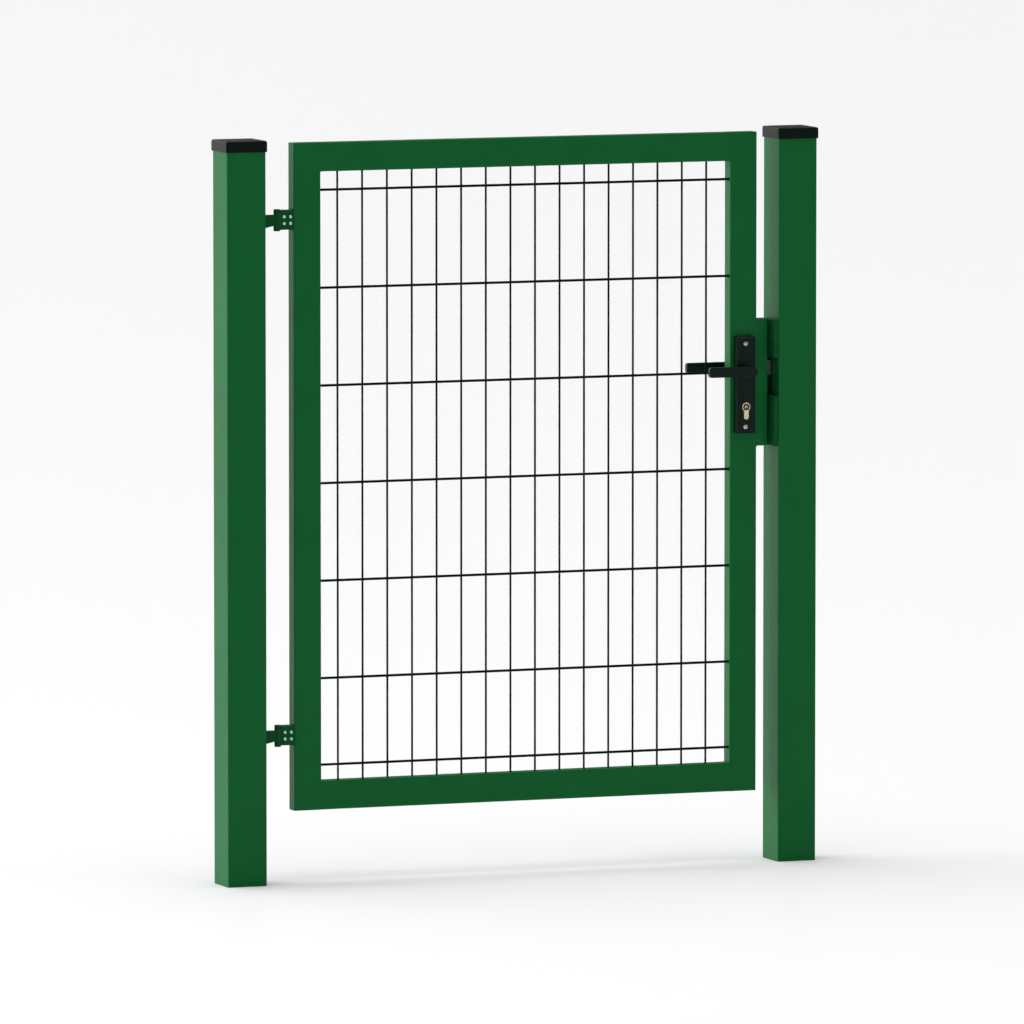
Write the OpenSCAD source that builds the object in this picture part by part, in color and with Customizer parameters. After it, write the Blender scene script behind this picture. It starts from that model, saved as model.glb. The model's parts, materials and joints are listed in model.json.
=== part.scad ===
// Framed wire-mesh gate leaf, hung between two square posts, with a lever lock.
// X runs to the right along the fence line, Y away from the front, Z up.
// The origin is on the ground, midway between the posts. Sizes are in millimetres.

/* [Opening] */
// Clear width between the two posts
clear_w = 1071; // [860:1:1400]
// Height of the gate leaf
leaf_h = 1298; // [1100:1:2000]
// Gap between the ground and the leaf
ground_gap = 141; // [60:1:200]
// Gap between the hinge post and the leaf
hinge_gap = 66; // [56:1:90]
// Gap between the leaf and the latch post
lock_gap = 37; // [32:1:60]

/* [Posts] */
// Side of the square post tube
post_size = 80; // [70:1:120]
// Wall of the post tube
post_wall = 3; // [2:0.5:5]
// Outer corner radius of the post tube
post_round = 2.5; // [1:0.5:4]
// Height of the post tube above the top of the leaf
post_above = 6; // [6:1:60]
// Visible height of the post cap
cap_h = 22; // [14:1:40]
// Thickness of the cap's top and skirt
cap_wall = 2; // [1.5:0.5:4]
// Bevel around the cap's top edge
cap_bevel = 2; // [0.5:0.5:4]

/* [Leaf frame] */
// Width of the frame tube across its face
frame_w = 56; // [50:1:80]
// Depth of the frame tube
frame_d = 30; // [28:1:50]
// Wall of the frame tube
frame_wall = 2; // [1.5:0.5:3]
// Outer corner radius of the frame tube
frame_round = 2; // [1:0.5:3]

/* [Mesh] */
// Diameter of the upright wires
upright_d = 4; // [3:0.5:6]
// Diameter of the level wires
level_d = 5; // [3:0.5:8]
// Spacing of the upright wires
upright_pitch = 51.4; // [40:0.1:100]
// Spacing of the level wires
level_pitch = 190; // [100:1:200]
// First upright wire, from the hinge stile's inner side
upright_edge = 39; // [20:1:60]
// Least room between the last upright wire and the lock stile
upright_room = 30; // [20:1:40]
// Topmost level wire, down from the top rail
level_top = 36; // [20:1:80]
// Lowest level wire, up from the bottom rail
level_bottom = 31; // [20:1:80]
// Plane of the upright wires, measured from the middle of the frame
mesh_y = -2; // [-6:0.5:6]

/* [Hinges] */
// Hinge centre, from the leaf's top or bottom edge
hinge_inset = 148; // [80:1:300]
// Hinge axis, out from the leaf's side
hinge_reach = 34.5; // [30:0.5:45]
// Diameter of the hinge barrel
barrel_d = 13; // [12:0.5:20]
// Diameter of the hinge pin
pin_d = 8; // [6:0.5:9]
// Height of the arm's eye
eye_h = 21.4; // [16:0.2:30]
// Height of each leaf knuckle
knuckle_h = 7.1; // [5:0.1:12]
// Height of the pin's head and of its riveted end
pin_head_h = 2.2; // [1.5:0.1:4]
// Thickness of the thrust washers
washer_t = 0.8; // [0.5:0.1:2]
// Thickness of the post arm
arm_t = 8; // [5:0.5:10]
// Height of the post arm where it meets the post
arm_root_h = 27; // [24:1:50]
// Thickness of the leaf plate
hinge_plate_t = 6; // [4:0.5:8]
// Depth of the welded block behind the leaf plate
hinge_block_d = 18; // [12:1:24]
// Diameter of the hinge screws' heads
hinge_head_d = 6; // [5:0.5:8]
// Diameter of the hinge screws
hinge_screw_d = 4; // [3:0.5:5]
// Spacing of the hinge screws, across and up
hinge_screw_pitch = 13; // [12:0.5:16]

/* [Lock] */
// Spindle height above the leaf's lower edge
spindle_up = 831; // [500:1:1000]
// Distance from the spindle down to the cylinder
lock_centres = 72; // [70:1:92]
// Side of the square spindle
spindle_s = 8; // [7:0.5:9]
// Throw of the latch bolt
latch_throw = 11; // [8:0.5:12]
// Throw of the deadbolt
dead_throw = 20; // [14:1:22]
// Thickness of both bolts
bolt_t = 12; // [8:0.5:13]
// Height of the latch bolt's head
latch_h = 28; // [20:1:32]
// Height of the deadbolt
dead_h = 24; // [18:1:26]
// Thickness of the lock's faceplate
forend_t = 3; // [2:0.5:4]
// Height of the lock box on the stile
box_h = 249; // [230:1:320]
// Middle of the lock box, down from the spindle
box_drop = 26; // [20:1:32]
// Turn of the lever, in degrees
lever_turn = 38; // [30:1:40]

/* [Furniture] */
// Width of the lever plates
plate_w = 40; // [34:1:46]
// Thickness of the lever plates
plate_t = 14; // [10:1:16]
// Bevel around the lever plates
plate_bevel = 2.5; // [1:0.5:4]
// Upper plate screw, up from the spindle
plate_screw_up = 53; // [50:0.5:70]
// Lower plate screw, down from the cylinder's foot
plate_screw_down = 14.5; // [13:0.5:24]
// Plate's end, past its outer screw
plate_end = 13; // [9:0.5:20]
// Lever length, from the spindle to the tip
lever_l = 91; // [70:1:140]
// Lever height
lever_h = 20; // [16:1:24]
// Lever thickness, front to back
lever_t = 12; // [8:1:16]
// Corner radius of the lever's tip
lever_tip_r = 5; // [2:0.5:8]
// Middle of the lever, out from the stile
lever_out = 45; // [40:1:60]
// Diameter of the lever's neck
neck_d = 21; // [20:0.5:26]

/* [Keep] */
// Thickness of the keep on the latch post
keep_t = 10.5; // [9:0.5:16]
// Play between the lock box and the keep
leaf_play = 3.2; // [3:0.1:6]
// Thickness of the stop lip behind the leaf
lip_t = 4; // [3:0.5:6]
// Room for the buffers between the leaf and the lip
buffer_room = 3; // [2:0.5:6]

/* [Hidden] */
$fn = 48;

green = "#10502a";
dark_green = "#05301a";
cap_black = "#1c2622";
lock_black = "#181f1d";
steel = "#b9bdb8";
mint = "#b8d8c4";
brass = "#b9b592";
rubber_black = "#101010";

// Fits and over-cuts
cut = 1;            // how far a cutting shape runs past a face
seat_fit = 0.2;     // cap skirt around the post
bore_fit = 0.05;    // radial fit of a turning shaft, or of a screw in its thread
thrust_fit = 0.1;   // end play in the hinge
swing_fit = 0.5;    // air around what swings past
weld_fit = 0.1;     // between crossing wires, filled by the weld
slide_fit = 0.4;    // around a sliding bolt

// Posts
post_x = clear_w / 2 + post_size / 2;
post_face = clear_w / 2;
leaf_z0 = ground_gap;
leaf_z1 = leaf_z0 + leaf_h;
post_h = leaf_z1 + post_above;

// Leaf frame
leaf_x0 = -post_face + hinge_gap;
leaf_x1 = post_face - lock_gap;
front_y = -frame_d / 2;
rear_y = frame_d / 2;
bay_x0 = leaf_x0 + frame_w;
bay_x1 = leaf_x1 - frame_w;
bay_z0 = leaf_z0 + frame_w;
bay_z1 = leaf_z1 - frame_w;

// Mesh
upright_first = bay_x0 + upright_edge;
upright_count = floor((bay_x1 - upright_room - upright_first) / upright_pitch) + 1;
level_y = mesh_y - (upright_d + level_d) / 2 - weld_fit;
level_first = bay_z1 - level_top;
level_last = bay_z0 + level_bottom;
level_count = ceil((level_first - level_last) / level_pitch);

// Hinges
axis_x = leaf_x0 - hinge_reach;
axis_y = front_y;
upper_hinge_z = leaf_z1 - hinge_inset;
lower_hinge_z = leaf_z0 + hinge_inset;
hinge_heights = [lower_hinge_z, upper_hinge_z];
washer_room = washer_t + 2 * thrust_fit;
knuckle_z = eye_h / 2 + washer_room;
hinge_half = knuckle_z + knuckle_h;
plate_x0 = axis_x + barrel_d / 2 + swing_fit;
hinge_plate_y0 = axis_y - hinge_plate_t / 2;
hinge_plate_y1 = axis_y + hinge_plate_t / 2;
hinge_screw_mid = (plate_x0 + leaf_x0) / 2;
hinge_head_h = 1.6;
hinge_screw_grip = 12;
hinge_screw_l = hinge_plate_t + hinge_screw_grip;
hinge_socket = 2.5;
socket_h = 0.9;
eye_relief = 1;
washer_inset = 0.2;

// Lock: the box, the faceplate and the case
lock_x = leaf_x1 - frame_w / 2;
spindle_z = leaf_z0 + spindle_up;
cylinder_z = spindle_z - lock_centres;
box_wall = 2;
box_x1 = post_face - keep_t - leaf_play;
box_z0 = spindle_z - box_drop - box_h / 2;
box_z1 = box_z0 + box_h;
lug_h = 16;
lug_t = 10;
forend_fit = 0.2;
forend_x0 = box_x1 - forend_t;
forend_half = frame_d / 2 - box_wall - forend_fit;
forend_z0 = box_z0 + box_wall + forend_fit;
forend_z1 = box_z1 - box_wall - forend_fit;
face_head_d = 7.6;
forend_screw_zs = [box_z0 + box_wall + lug_h / 2, box_z1 - box_wall - lug_h / 2];
case_wall = 1.5;
bolt_side_gap = 0.5;
case_room = bolt_t + 2 * bolt_side_gap;
case_half = case_room / 2 + case_wall;
case_gap = 1;
case_x0 = bay_x1 + frame_wall + case_gap;
case_z0 = cylinder_z - 33;
case_z1 = spindle_z + 45;
window_fit = 0.6;

// Lock: follower, latch bolt and springs
follower_r = 11;
follower_hub_r = 7.5;
follower_half = 3;
follower_arm_half = 2.5;
arm_tip_r = 3;
arm_reach = latch_throw / (lever_turn * PI / 180) - bore_fit;
follower_top = spindle_z + arm_reach + arm_tip_r;
latch_mid_z = spindle_z + 2;
latch_z0 = latch_mid_z - latch_h / 2;
latch_z1 = latch_z0 + latch_h;
latch_l = 22;
latch_x0 = box_x1 - latch_l;
latch_tip = box_x1 + latch_throw;
latch_nose = 3;
latch_shoulder = 1;
tail_half = 1.5;
tail_h = 7;
tail_gap = 0.8;
tail_z0 = follower_top + tail_gap;
tail_z1 = tail_z0 + tail_h;
riser_w = 7;
foot_w = 4;
foot_gap = 0.3;
foot_x1 = lock_x - arm_tip_r - foot_gap;
foot_rise = 1;
foot_z0 = spindle_z + follower_r + foot_rise;
latch_spring_r = 3;
latch_spring_wire = 0.8;
latch_spring_turns = 4.5;
latch_spring_drop = 0.5;
latch_spring_z = tail_z0 - latch_spring_drop;
latch_spring_x0 = case_x0 + case_wall;
lever_spring_wire = 1;
lever_spring_r = follower_hub_r + swing_fit + lever_spring_wire / 2;
lever_spring_turns = 2;
lever_spring_pitch = 1.1;
lever_spring_gap = 0.15;

// Lock: cylinder, cam and deadbolt
cylinder_r = 8.5;
cylinder_h = 33;
stem_w = 10;
cylinder_proud = 2;
cylinder_half = frame_d / 2 + plate_t + cylinder_proud;
plug_r = 6.5;
cam_r = 15;
cam_w = 8;
cam_half = 4.5;
cam_gap_half = cam_half + swing_fit;
bridge_gap = 0.7;
bridge_z1 = cylinder_z - cam_r - bridge_gap;
stem_z0 = cylinder_z + cylinder_r - cylinder_h;
cylinder_screw_r = 2.5;
cylinder_screw_z = (stem_z0 + bridge_z1) / 2;
keyway_w = 2;
keyway_deep = 14;
keyway_edge = 1;
keyway_top = 2;
dead_z0 = cylinder_z - cam_r;
dead_z1 = dead_z0 + dead_h;
dead_x0 = lock_x + cam_r + 2.5;
dead_tail_z0 = cylinder_z + cam_r + 1.5;
dead_tail_z1 = dead_tail_z0 + tail_h;
dead_tail_reach = 6;
dead_tail_x0 = lock_x - cylinder_r - dead_tail_reach;
dead_stop_gap = 2;
dead_riser_w = forend_x0 - dead_throw - dead_stop_gap - dead_x0;

// Furniture
plate_screw_zs = [stem_z0 - plate_screw_down, spindle_z + plate_screw_up];
plate_z0 = plate_screw_zs[0] - plate_end;
plate_z1 = plate_screw_zs[1] + plate_end;
plate_y = -frame_d / 2 - plate_t;
journal_d = 18;
journal_gap = 0.5;
journal_room = 1;
socket_fit = 0.15;
spindle_short = 8;
spindle_half = frame_d / 2 + lever_out - spindle_short;
lever_mid_y = -frame_d / 2 - lever_out;
lever_screw_d = 6;
lever_screw_l = 5.5;
lever_screw_out = 8;
lever_screw_y = plate_y - lever_screw_out;
lever_socket = 3;
lever_socket_h = 2.5;
plate_screw_d = 5;
plate_head_d = 10;
plate_head_h = 3;
plate_socket = 4;
plate_socket_h = 2;
head_inset = 0.3;
thread_short = 4;
sleeve_floor = 3;
sleeve_d = 8;
screw_room = 0.25;
face_socket = 3;

// Keep and stop
keep_x0 = post_face - keep_t;
keep_y0 = -post_size / 2;
lip_y0 = rear_y + buffer_room;
lip_y1 = lip_y0 + lip_t;
lip_clear = 4;
lip_x0 = leaf_x1 + lip_clear;
keep_web = 1.5;
recess_below = 40;
recess_above = 7;
recess_room = 2;
recess_back = bolt_t / 2 + recess_room;
pocket_room = 3;
pocket_side = 2;
keep_screw_d = 6;
keep_head_d = 11;
keep_head_h = 3.5;
keep_screw_l = 16;
keep_screw_ys = [keep_y0 + 16, keep_y0 + 48];
keep_screw_edge = 20;
keep_screw_zs = [box_z0 + keep_screw_edge, box_z1 - keep_screw_edge];
keep_socket_h = 2.2;
buffer_d = 12;
buffer_stem_d = 6;
buffer_head_d = 9;
buffer_head_h = 2;
buffer_gap = 0.3;
buffer_edge = 40;
buffer_x = (lip_x0 + keep_x0) / 2;
buffer_zs = [box_z0 + buffer_edge, box_z1 - buffer_edge];

// ---- Plain shapes between coordinates ----

module block(x0, x1, y0, y1, z0, z1) {
  translate([x0, y0, z0]) cube([x1 - x0, y1 - y0, z1 - z0]);
}

module rod_x(y, z, x0, x1, d) {
  translate([x0, y, z]) rotate([0, 90, 0]) cylinder(h = x1 - x0, d = d);
}

module rod_y(x, z, y0, y1, d) {
  translate([x, y1, z]) rotate([90, 0, 0]) cylinder(h = y1 - y0, d = d);
}

module rod_z(x, y, z0, z1, d) {
  translate([x, y, z0]) cylinder(h = z1 - z0, d = d);
}

// An outline drawn in X and Z, given depth from y0 to y1
module slab_y(y0, y1) {
  translate([0, y1, 0]) rotate([90, 0, 0]) linear_extrude(height = y1 - y0) children();
}

// A hexagon socket that opens towards +Z
module hex_socket(across, deep) {
  translate([0, 0, -deep]) cylinder(h = deep + cut, d = across / cos(30), $fn = 6);
}

module rounded_rect(w, d, r) {
  square([w - 2 * r, d], center = true);
  square([w, d - 2 * r], center = true);
  for (sx = [-1, 1])
    for (sy = [-1, 1])
      translate([sx * (w / 2 - r), sy * (d / 2 - r)]) circle(r = r);
}

module tube_section(w, d, r, wall) {
  difference() {
    rounded_rect(w, d, r);
    square([w - 2 * wall, d - 2 * wall], center = true);
  }
}

// A wound wire: rings of points along a helix about Z, closed at both ends
module coil(mean_r, wire_d, turns, pitch) {
  sides = 6;
  rings = ceil(turns * 12);
  function spot(i, j) =
    let (a = 360 * turns * i / rings, b = 360 * j / sides, r = mean_r + wire_d / 2 * cos(b))
    [r * cos(a), r * sin(a), pitch * turns * i / rings + wire_d / 2 * sin(b)];
  points = [for (i = [0 : rings]) for (j = [0 : sides - 1]) spot(i, j)];
  skin = [
    for (i = [0 : rings - 1])
      for (j = [0 : sides - 1])
        let (k = (j + 1) % sides, a = i * sides, b = (i + 1) * sides)
        each [[a + j, a + k, b + k], [a + j, b + k, b + j]]
  ];
  start = [for (j = [sides - 1 : -1 : 0]) j];
  finish = [for (j = [0 : sides - 1]) rings * sides + j];
  polyhedron(points = points, faces = concat(skin, [start, finish]));
}

// ---- Posts ----

module post_tube(x) {
  translate([x, 0, 0])
    linear_extrude(height = post_h) tube_section(post_size, post_size, post_round, post_wall);
}

module hinge_post() {
  color(green) post_tube(-post_x);
}

module latch_post() {
  color(green)
    difference() {
      post_tube(post_x);
      dead_pocket(post_face + post_wall + cut);
      keep_screw_holes(keep_screw_d / 2 + bore_fit);
    }
}

module post_cap(x) {
  half = post_size / 2 + seat_fit + cap_wall;
  inner = post_size / 2 + seat_fit;
  top = post_h + cap_wall;
  translate([x, 0, 0])
    difference() {
      hull() {
        block(-half, half, -half, half, top - cap_h, top - cap_bevel);
        block(-half + cap_bevel, half - cap_bevel, -half + cap_bevel, half - cap_bevel,
              top - cap_h, top);
      }
      block(-inner, inner, -inner, inner, top - cap_h - cut, post_h);
    }
}

module hinge_post_cap() {
  color(cap_black) post_cap(-post_x);
}

module latch_post_cap() {
  color(cap_black) post_cap(post_x);
}

// ---- Hinges ----

module hinge_arm(z) {
  top = z + eye_h / 2;
  bottom = z - eye_h / 2;
  clear_x = axis_x - barrel_d / 2 - eye_relief;
  difference() {
    union() {
      rod_z(axis_x, axis_y, bottom, top, barrel_d);
      slab_y(axis_y - arm_t / 2, axis_y + arm_t / 2)
        polygon([[-post_face, top], [axis_x, top], [axis_x, bottom],
                 [clear_x, bottom], [-post_face, top - arm_root_h]]);
    }
    rod_z(axis_x, axis_y, bottom - cut, top + cut, pin_d + bore_fit);
  }
}

module upper_hinge_arm() {
  color(dark_green) hinge_arm(upper_hinge_z);
}

module lower_hinge_arm() {
  color(dark_green) hinge_arm(lower_hinge_z);
}

module hinge_pins() {
  half = hinge_half + thrust_fit;
  color(dark_green)
    for (z = hinge_heights) {
      rod_z(axis_x, axis_y, z - half, z + half, pin_d);
      rod_z(axis_x, axis_y, z + half, z + half + pin_head_h, barrel_d);
      rod_z(axis_x, axis_y, z - half - pin_head_h, z - half, barrel_d);
    }
}

module hinge_washers() {
  color(brass)
    for (z = hinge_heights)
      for (side = [-1, 1])
        translate([axis_x, axis_y, z + side * (eye_h + washer_room) / 2 - washer_t / 2])
          difference() {
            cylinder(h = washer_t, d = barrel_d - 2 * washer_inset);
            translate([0, 0, -cut]) cylinder(h = washer_t + 2 * cut, d = pin_d + 4 * bore_fit);
          }
}

module hinge_screw_places(z) {
  for (sx = [-1, 1])
    for (sz = [-1, 1])
      translate([hinge_screw_mid + sx * hinge_screw_pitch / 2, 0, z + sz * hinge_screw_pitch / 2])
        children();
}

module hinge_screw_bores(z) {
  hinge_screw_places(z)
    rod_y(0, 0, hinge_plate_y0 - cut, hinge_plate_y0 + hinge_screw_l,
          hinge_screw_d + 2 * bore_fit);
}

module hinge_plate(z) {
  difference() {
    union() {
      block(plate_x0, leaf_x0, hinge_plate_y0, hinge_plate_y1, z - hinge_half, z + hinge_half);
      for (low = [z + knuckle_z, z - hinge_half]) {
        rod_z(axis_x, axis_y, low, low + knuckle_h, barrel_d);
        block(axis_x, plate_x0 + cut, hinge_plate_y0, hinge_plate_y1, low, low + knuckle_h);
      }
    }
    rod_z(axis_x, axis_y, z - hinge_half - cut, z + hinge_half + cut, pin_d + 2 * bore_fit);
    hinge_screw_bores(z);
  }
}

module upper_hinge_plate() {
  color(dark_green) hinge_plate(upper_hinge_z);
}

module lower_hinge_plate() {
  color(dark_green) hinge_plate(lower_hinge_z);
}

module hinge_blocks() {
  color(green)
    for (z = hinge_heights)
      difference() {
        block(plate_x0, leaf_x0, hinge_plate_y1, hinge_plate_y1 + hinge_block_d,
              z - hinge_half, z + hinge_half);
        hinge_screw_bores(z);
      }
}

module hinge_screws() {
  head_y = hinge_plate_y0 - hinge_head_h;
  color(mint)
    for (z = hinge_heights)
      hinge_screw_places(z)
        difference() {
          union() {
            rod_y(0, 0, head_y, hinge_plate_y0, hinge_head_d);
            rod_y(0, 0, hinge_plate_y0, hinge_plate_y0 + hinge_screw_l - cut, hinge_screw_d);
          }
          translate([0, head_y, 0]) rotate([90, 0, 0]) hex_socket(hinge_socket, socket_h);
        }
}

// ---- Leaf frame and mesh ----

module stile_tube(x0) {
  translate([x0 + frame_w / 2, 0, leaf_z0])
    linear_extrude(height = leaf_h) tube_section(frame_w, frame_d, frame_round, frame_wall);
}

module rail_tube(z0) {
  translate([bay_x0, 0, z0 + frame_w / 2])
    rotate([0, 90, 0])
      linear_extrude(height = bay_x1 - bay_x0)
        tube_section(frame_w, frame_d, frame_round, frame_wall);
}

module hinge_stile() {
  color(green) stile_tube(leaf_x0);
}

module lock_stile() {
  reach = frame_d / 2 + cut;
  color(green)
    difference() {
      stile_tube(bay_x1);
      block(leaf_x1 - frame_wall - cut, leaf_x1 + cut, -case_half - window_fit,
            case_half + window_fit, case_z0 - window_fit, case_z1 + window_fit);
      rod_y(lock_x, spindle_z, -reach, reach, journal_d + 2 * journal_room);
      slab_y(-reach, reach) euro_profile(window_fit);
      for (z = plate_screw_zs)
        rod_y(lock_x, z, -reach, reach, sleeve_d + 2 * screw_room);
    }
}

// Plates let into the open ends of the stiles and welded flush
module stile_end_plates() {
  color(green)
    for (x0 = [leaf_x0, bay_x1])
      for (z0 = [leaf_z0, leaf_z1 - frame_wall])
        block(x0 + frame_wall, x0 + frame_w - frame_wall, front_y + frame_wall,
              rear_y - frame_wall, z0, z0 + frame_wall);
}

module top_rail() {
  color(green) rail_tube(bay_z1);
}

module bottom_rail() {
  color(green) rail_tube(leaf_z0);
}

module upright_wires() {
  color(dark_green)
    for (i = [0 : upright_count - 1])
      rod_z(upright_first + i * upright_pitch, mesh_y, bay_z0, bay_z1, upright_d);
}

module level_wires() {
  color(dark_green) {
    for (i = [0 : level_count - 1])
      rod_x(level_y, level_first - i * level_pitch, bay_x0, bay_x1, level_d);
    rod_x(level_y, level_last, bay_x0, bay_x1, level_d);
  }
}

// ---- Lock box, faceplate and case ----

module lock_box() {
  inner = frame_d / 2 - box_wall;
  color(green)
    difference() {
      union() {
        difference() {
          block(leaf_x1, box_x1, front_y, rear_y, box_z0, box_z1);
          block(leaf_x1 - cut, box_x1 + cut, -inner, inner, box_z0 + box_wall, box_z1 - box_wall);
        }
        block(forend_x0 - lug_t, forend_x0, -inner, inner, box_z0 + box_wall,
              box_z0 + box_wall + lug_h);
        block(forend_x0 - lug_t, forend_x0, -inner, inner, box_z1 - box_wall - lug_h,
              box_z1 - box_wall);
      }
      for (z = forend_screw_zs)
        rod_x(0, z, forend_x0 - lug_t - cut, forend_x0 + cut, plate_screw_d + 2 * bore_fit);
    }
}

module faceplate() {
  color(steel)
    difference() {
      block(forend_x0, box_x1, -forend_half, forend_half, forend_z0, forend_z1);
      block(forend_x0 - cut, box_x1 + cut, -bolt_t / 2 - slide_fit, bolt_t / 2 + slide_fit,
            latch_z0 - slide_fit, latch_z1 + slide_fit);
      block(forend_x0 - cut, box_x1 + cut, -bolt_t / 2 - slide_fit, bolt_t / 2 + slide_fit,
            dead_z0 - slide_fit, dead_z1 + slide_fit);
      for (z = concat(forend_screw_zs, [cylinder_screw_z])) {
        rod_x(0, z, forend_x0 - cut, box_x1 + cut, plate_screw_d + 2 * bore_fit);
        rod_x(0, z, box_x1 - plate_head_h / 2, box_x1 + cut, face_head_d + 2 * screw_room);
      }
    }
}

// A flush screw along X whose head lies in the faceplate
module faceplate_screw(z, x0) {
  difference() {
    union() {
      rod_x(0, z, x0, box_x1 - plate_head_h / 2, plate_screw_d);
      rod_x(0, z, box_x1 - plate_head_h / 2, box_x1, face_head_d);
    }
    translate([box_x1, 0, z]) rotate([0, 90, 0]) hex_socket(face_socket, socket_h);
  }
}

module faceplate_screws() {
  color(steel)
    for (z = forend_screw_zs)
      faceplate_screw(z, forend_x0 - lug_t);
}

module cylinder_screw() {
  color(steel) faceplate_screw(cylinder_screw_z, lock_x - stem_w / 2 + cut);
}

module lock_case() {
  color(steel)
    difference() {
      block(case_x0, forend_x0, -case_half, case_half, case_z0, case_z1);
      block(case_x0 + case_wall, forend_x0 + cut, -case_room / 2, case_room / 2,
            case_z0 + case_wall, case_z1 - case_wall);
      rod_y(lock_x, spindle_z, -case_half - cut, case_half + cut,
            2 * (follower_hub_r + 2 * bore_fit));
      slab_y(-case_half - cut, case_half + cut) euro_profile(window_fit);
    }
}

// ---- Latch, follower and springs ----

module follower() {
  color(steel)
    difference() {
      union() {
        rod_y(lock_x, spindle_z, -follower_half, follower_half, 2 * follower_r);
        rod_y(lock_x, spindle_z, -case_half, case_half, 2 * follower_hub_r);
        block(lock_x - arm_tip_r, lock_x + arm_tip_r, -follower_arm_half, follower_arm_half,
              spindle_z, spindle_z + arm_reach);
        rod_y(lock_x, spindle_z + arm_reach, -follower_arm_half, follower_arm_half,
              2 * arm_tip_r);
      }
      spindle_hole(-case_half - cut, case_half + cut);
    }
}

module spindle_hole(y0, y1) {
  half = (spindle_s + socket_fit) / 2;
  block(lock_x - half, lock_x + half, y0, y1, spindle_z - half, spindle_z + half);
}

module latch_bolt() {
  half = bolt_t / 2;
  color(steel) {
    translate([0, 0, latch_z0])
      linear_extrude(height = latch_h)
        polygon([[latch_x0, -half], [latch_tip, -half], [latch_tip, latch_nose - half],
                 [box_x1 + latch_shoulder, half], [latch_x0, half]]);
    slab_y(-tail_half, tail_half)
      polygon([[latch_x0 + cut, latch_z0 + latch_h / 2], [latch_x0 + cut, tail_z1],
               [foot_x1 - foot_w, tail_z1], [foot_x1 - foot_w, foot_z0], [foot_x1, foot_z0],
               [foot_x1, tail_z0], [latch_x0 - riser_w + cut, tail_z0],
               [latch_x0 - riser_w + cut, latch_z0 + latch_h / 2]]);
  }
}

module latch_spring() {
  length = foot_x1 - foot_w - latch_spring_x0;
  color(steel)
    translate([latch_spring_x0 + latch_spring_wire / 2, 0, latch_spring_z])
      rotate([0, 90, 0])
        coil(latch_spring_r, latch_spring_wire, latch_spring_turns,
             (length - latch_spring_wire) / latch_spring_turns);
}

module lever_spring() {
  reach = lever_spring_turns * lever_spring_pitch + lever_spring_wire / 2;
  color(steel)
    translate([lock_x, -follower_half - lever_spring_gap - reach, spindle_z])
      rotate([-90, 0, 0])
        coil(lever_spring_r, lever_spring_wire, lever_spring_turns, lever_spring_pitch);
}

// ---- Cylinder, cam and deadbolt ----

// Outline of the profile cylinder, grown by fit on every side
module euro_profile(fit) {
  translate([lock_x, cylinder_z]) circle(r = cylinder_r + fit);
  translate([lock_x - stem_w / 2 - fit, stem_z0 + stem_w / 2])
    square([stem_w + 2 * fit, cylinder_z - stem_z0 - stem_w / 2]);
  translate([lock_x, stem_z0 + stem_w / 2]) circle(r = stem_w / 2 + fit);
}

module cylinder_body() {
  color(brass)
    difference() {
      slab_y(-cylinder_half, cylinder_half) euro_profile(0);
      rod_y(lock_x, cylinder_z, -cylinder_half - cut, cylinder_half + cut,
            2 * (plug_r + bore_fit));
      block(lock_x - cylinder_r - cut, lock_x + cylinder_r + cut, -cam_gap_half, cam_gap_half,
            bridge_z1, cylinder_z + cylinder_r + cut);
      rod_x(0, cylinder_screw_z, lock_x - stem_w, lock_x + stem_w,
            2 * (cylinder_screw_r + bore_fit));
    }
}

module cylinder_plug() {
  color(brass)
    for (side = [0, 1])
      mirror([0, side, 0])
        difference() {
          rod_y(lock_x, cylinder_z, -cylinder_half, -cam_half, 2 * plug_r);
          block(lock_x - keyway_w / 2, lock_x + keyway_w / 2, -cylinder_half - cut,
                -cylinder_half + keyway_deep, cylinder_z - plug_r + keyway_edge,
                cylinder_z + keyway_top);
        }
}

module lock_cam() {
  color(steel)
    slab_y(-cam_half, cam_half) {
      translate([lock_x, cylinder_z]) circle(r = plug_r);
      intersection() {
        translate([lock_x, cylinder_z]) circle(r = cam_r);
        translate([lock_x - cam_w / 2, cylinder_z - cam_r - cut]) square([cam_w, cam_r + cut]);
      }
    }
}

module deadbolt() {
  half = bolt_t / 2;
  color(steel) {
    block(dead_x0, box_x1, -half, half, dead_z0, dead_z1);
    slab_y(-half, half)
      polygon([[dead_x0, dead_z0], [dead_x0 + dead_riser_w, dead_z0],
               [dead_x0 + dead_riser_w, dead_tail_z1], [dead_tail_x0, dead_tail_z1],
               [dead_tail_x0, dead_tail_z0], [dead_x0, dead_tail_z0]]);
  }
}

// Room for the thrown deadbolt, from the keep's face to x1
module dead_pocket(x1) {
  half = bolt_t / 2 + pocket_side;
  block(keep_x0 - cut, x1, -half, half, dead_z0 - pocket_room, dead_z1 + pocket_room);
}

// ---- Plates, levers and their fasteners ----

module lever_plate() {
  half = plate_w / 2;
  face = half - plate_bevel;
  difference() {
    hull() {
      block(lock_x - half, lock_x + half, plate_y + plate_bevel, front_y, plate_z0, plate_z1);
      block(lock_x - face, lock_x + face, plate_y, front_y, plate_z0 + plate_bevel,
            plate_z1 - plate_bevel);
    }
    rod_y(lock_x, spindle_z, plate_y - cut, front_y + cut, journal_d + 2 * bore_fit);
    slab_y(plate_y - cut, front_y + cut) euro_profile(slide_fit);
    for (z = plate_screw_zs) {
      rod_y(lock_x, z, plate_y - cut, plate_y + plate_head_h, plate_head_d + 2 * screw_room);
      rod_y(lock_x, z, plate_y - cut, front_y + cut, sleeve_d + 2 * bore_fit);
    }
  }
}

module front_plate() {
  color(lock_black) lever_plate();
}

module rear_plate() {
  color(lock_black) mirror([0, 1, 0]) lever_plate();
}

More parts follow.
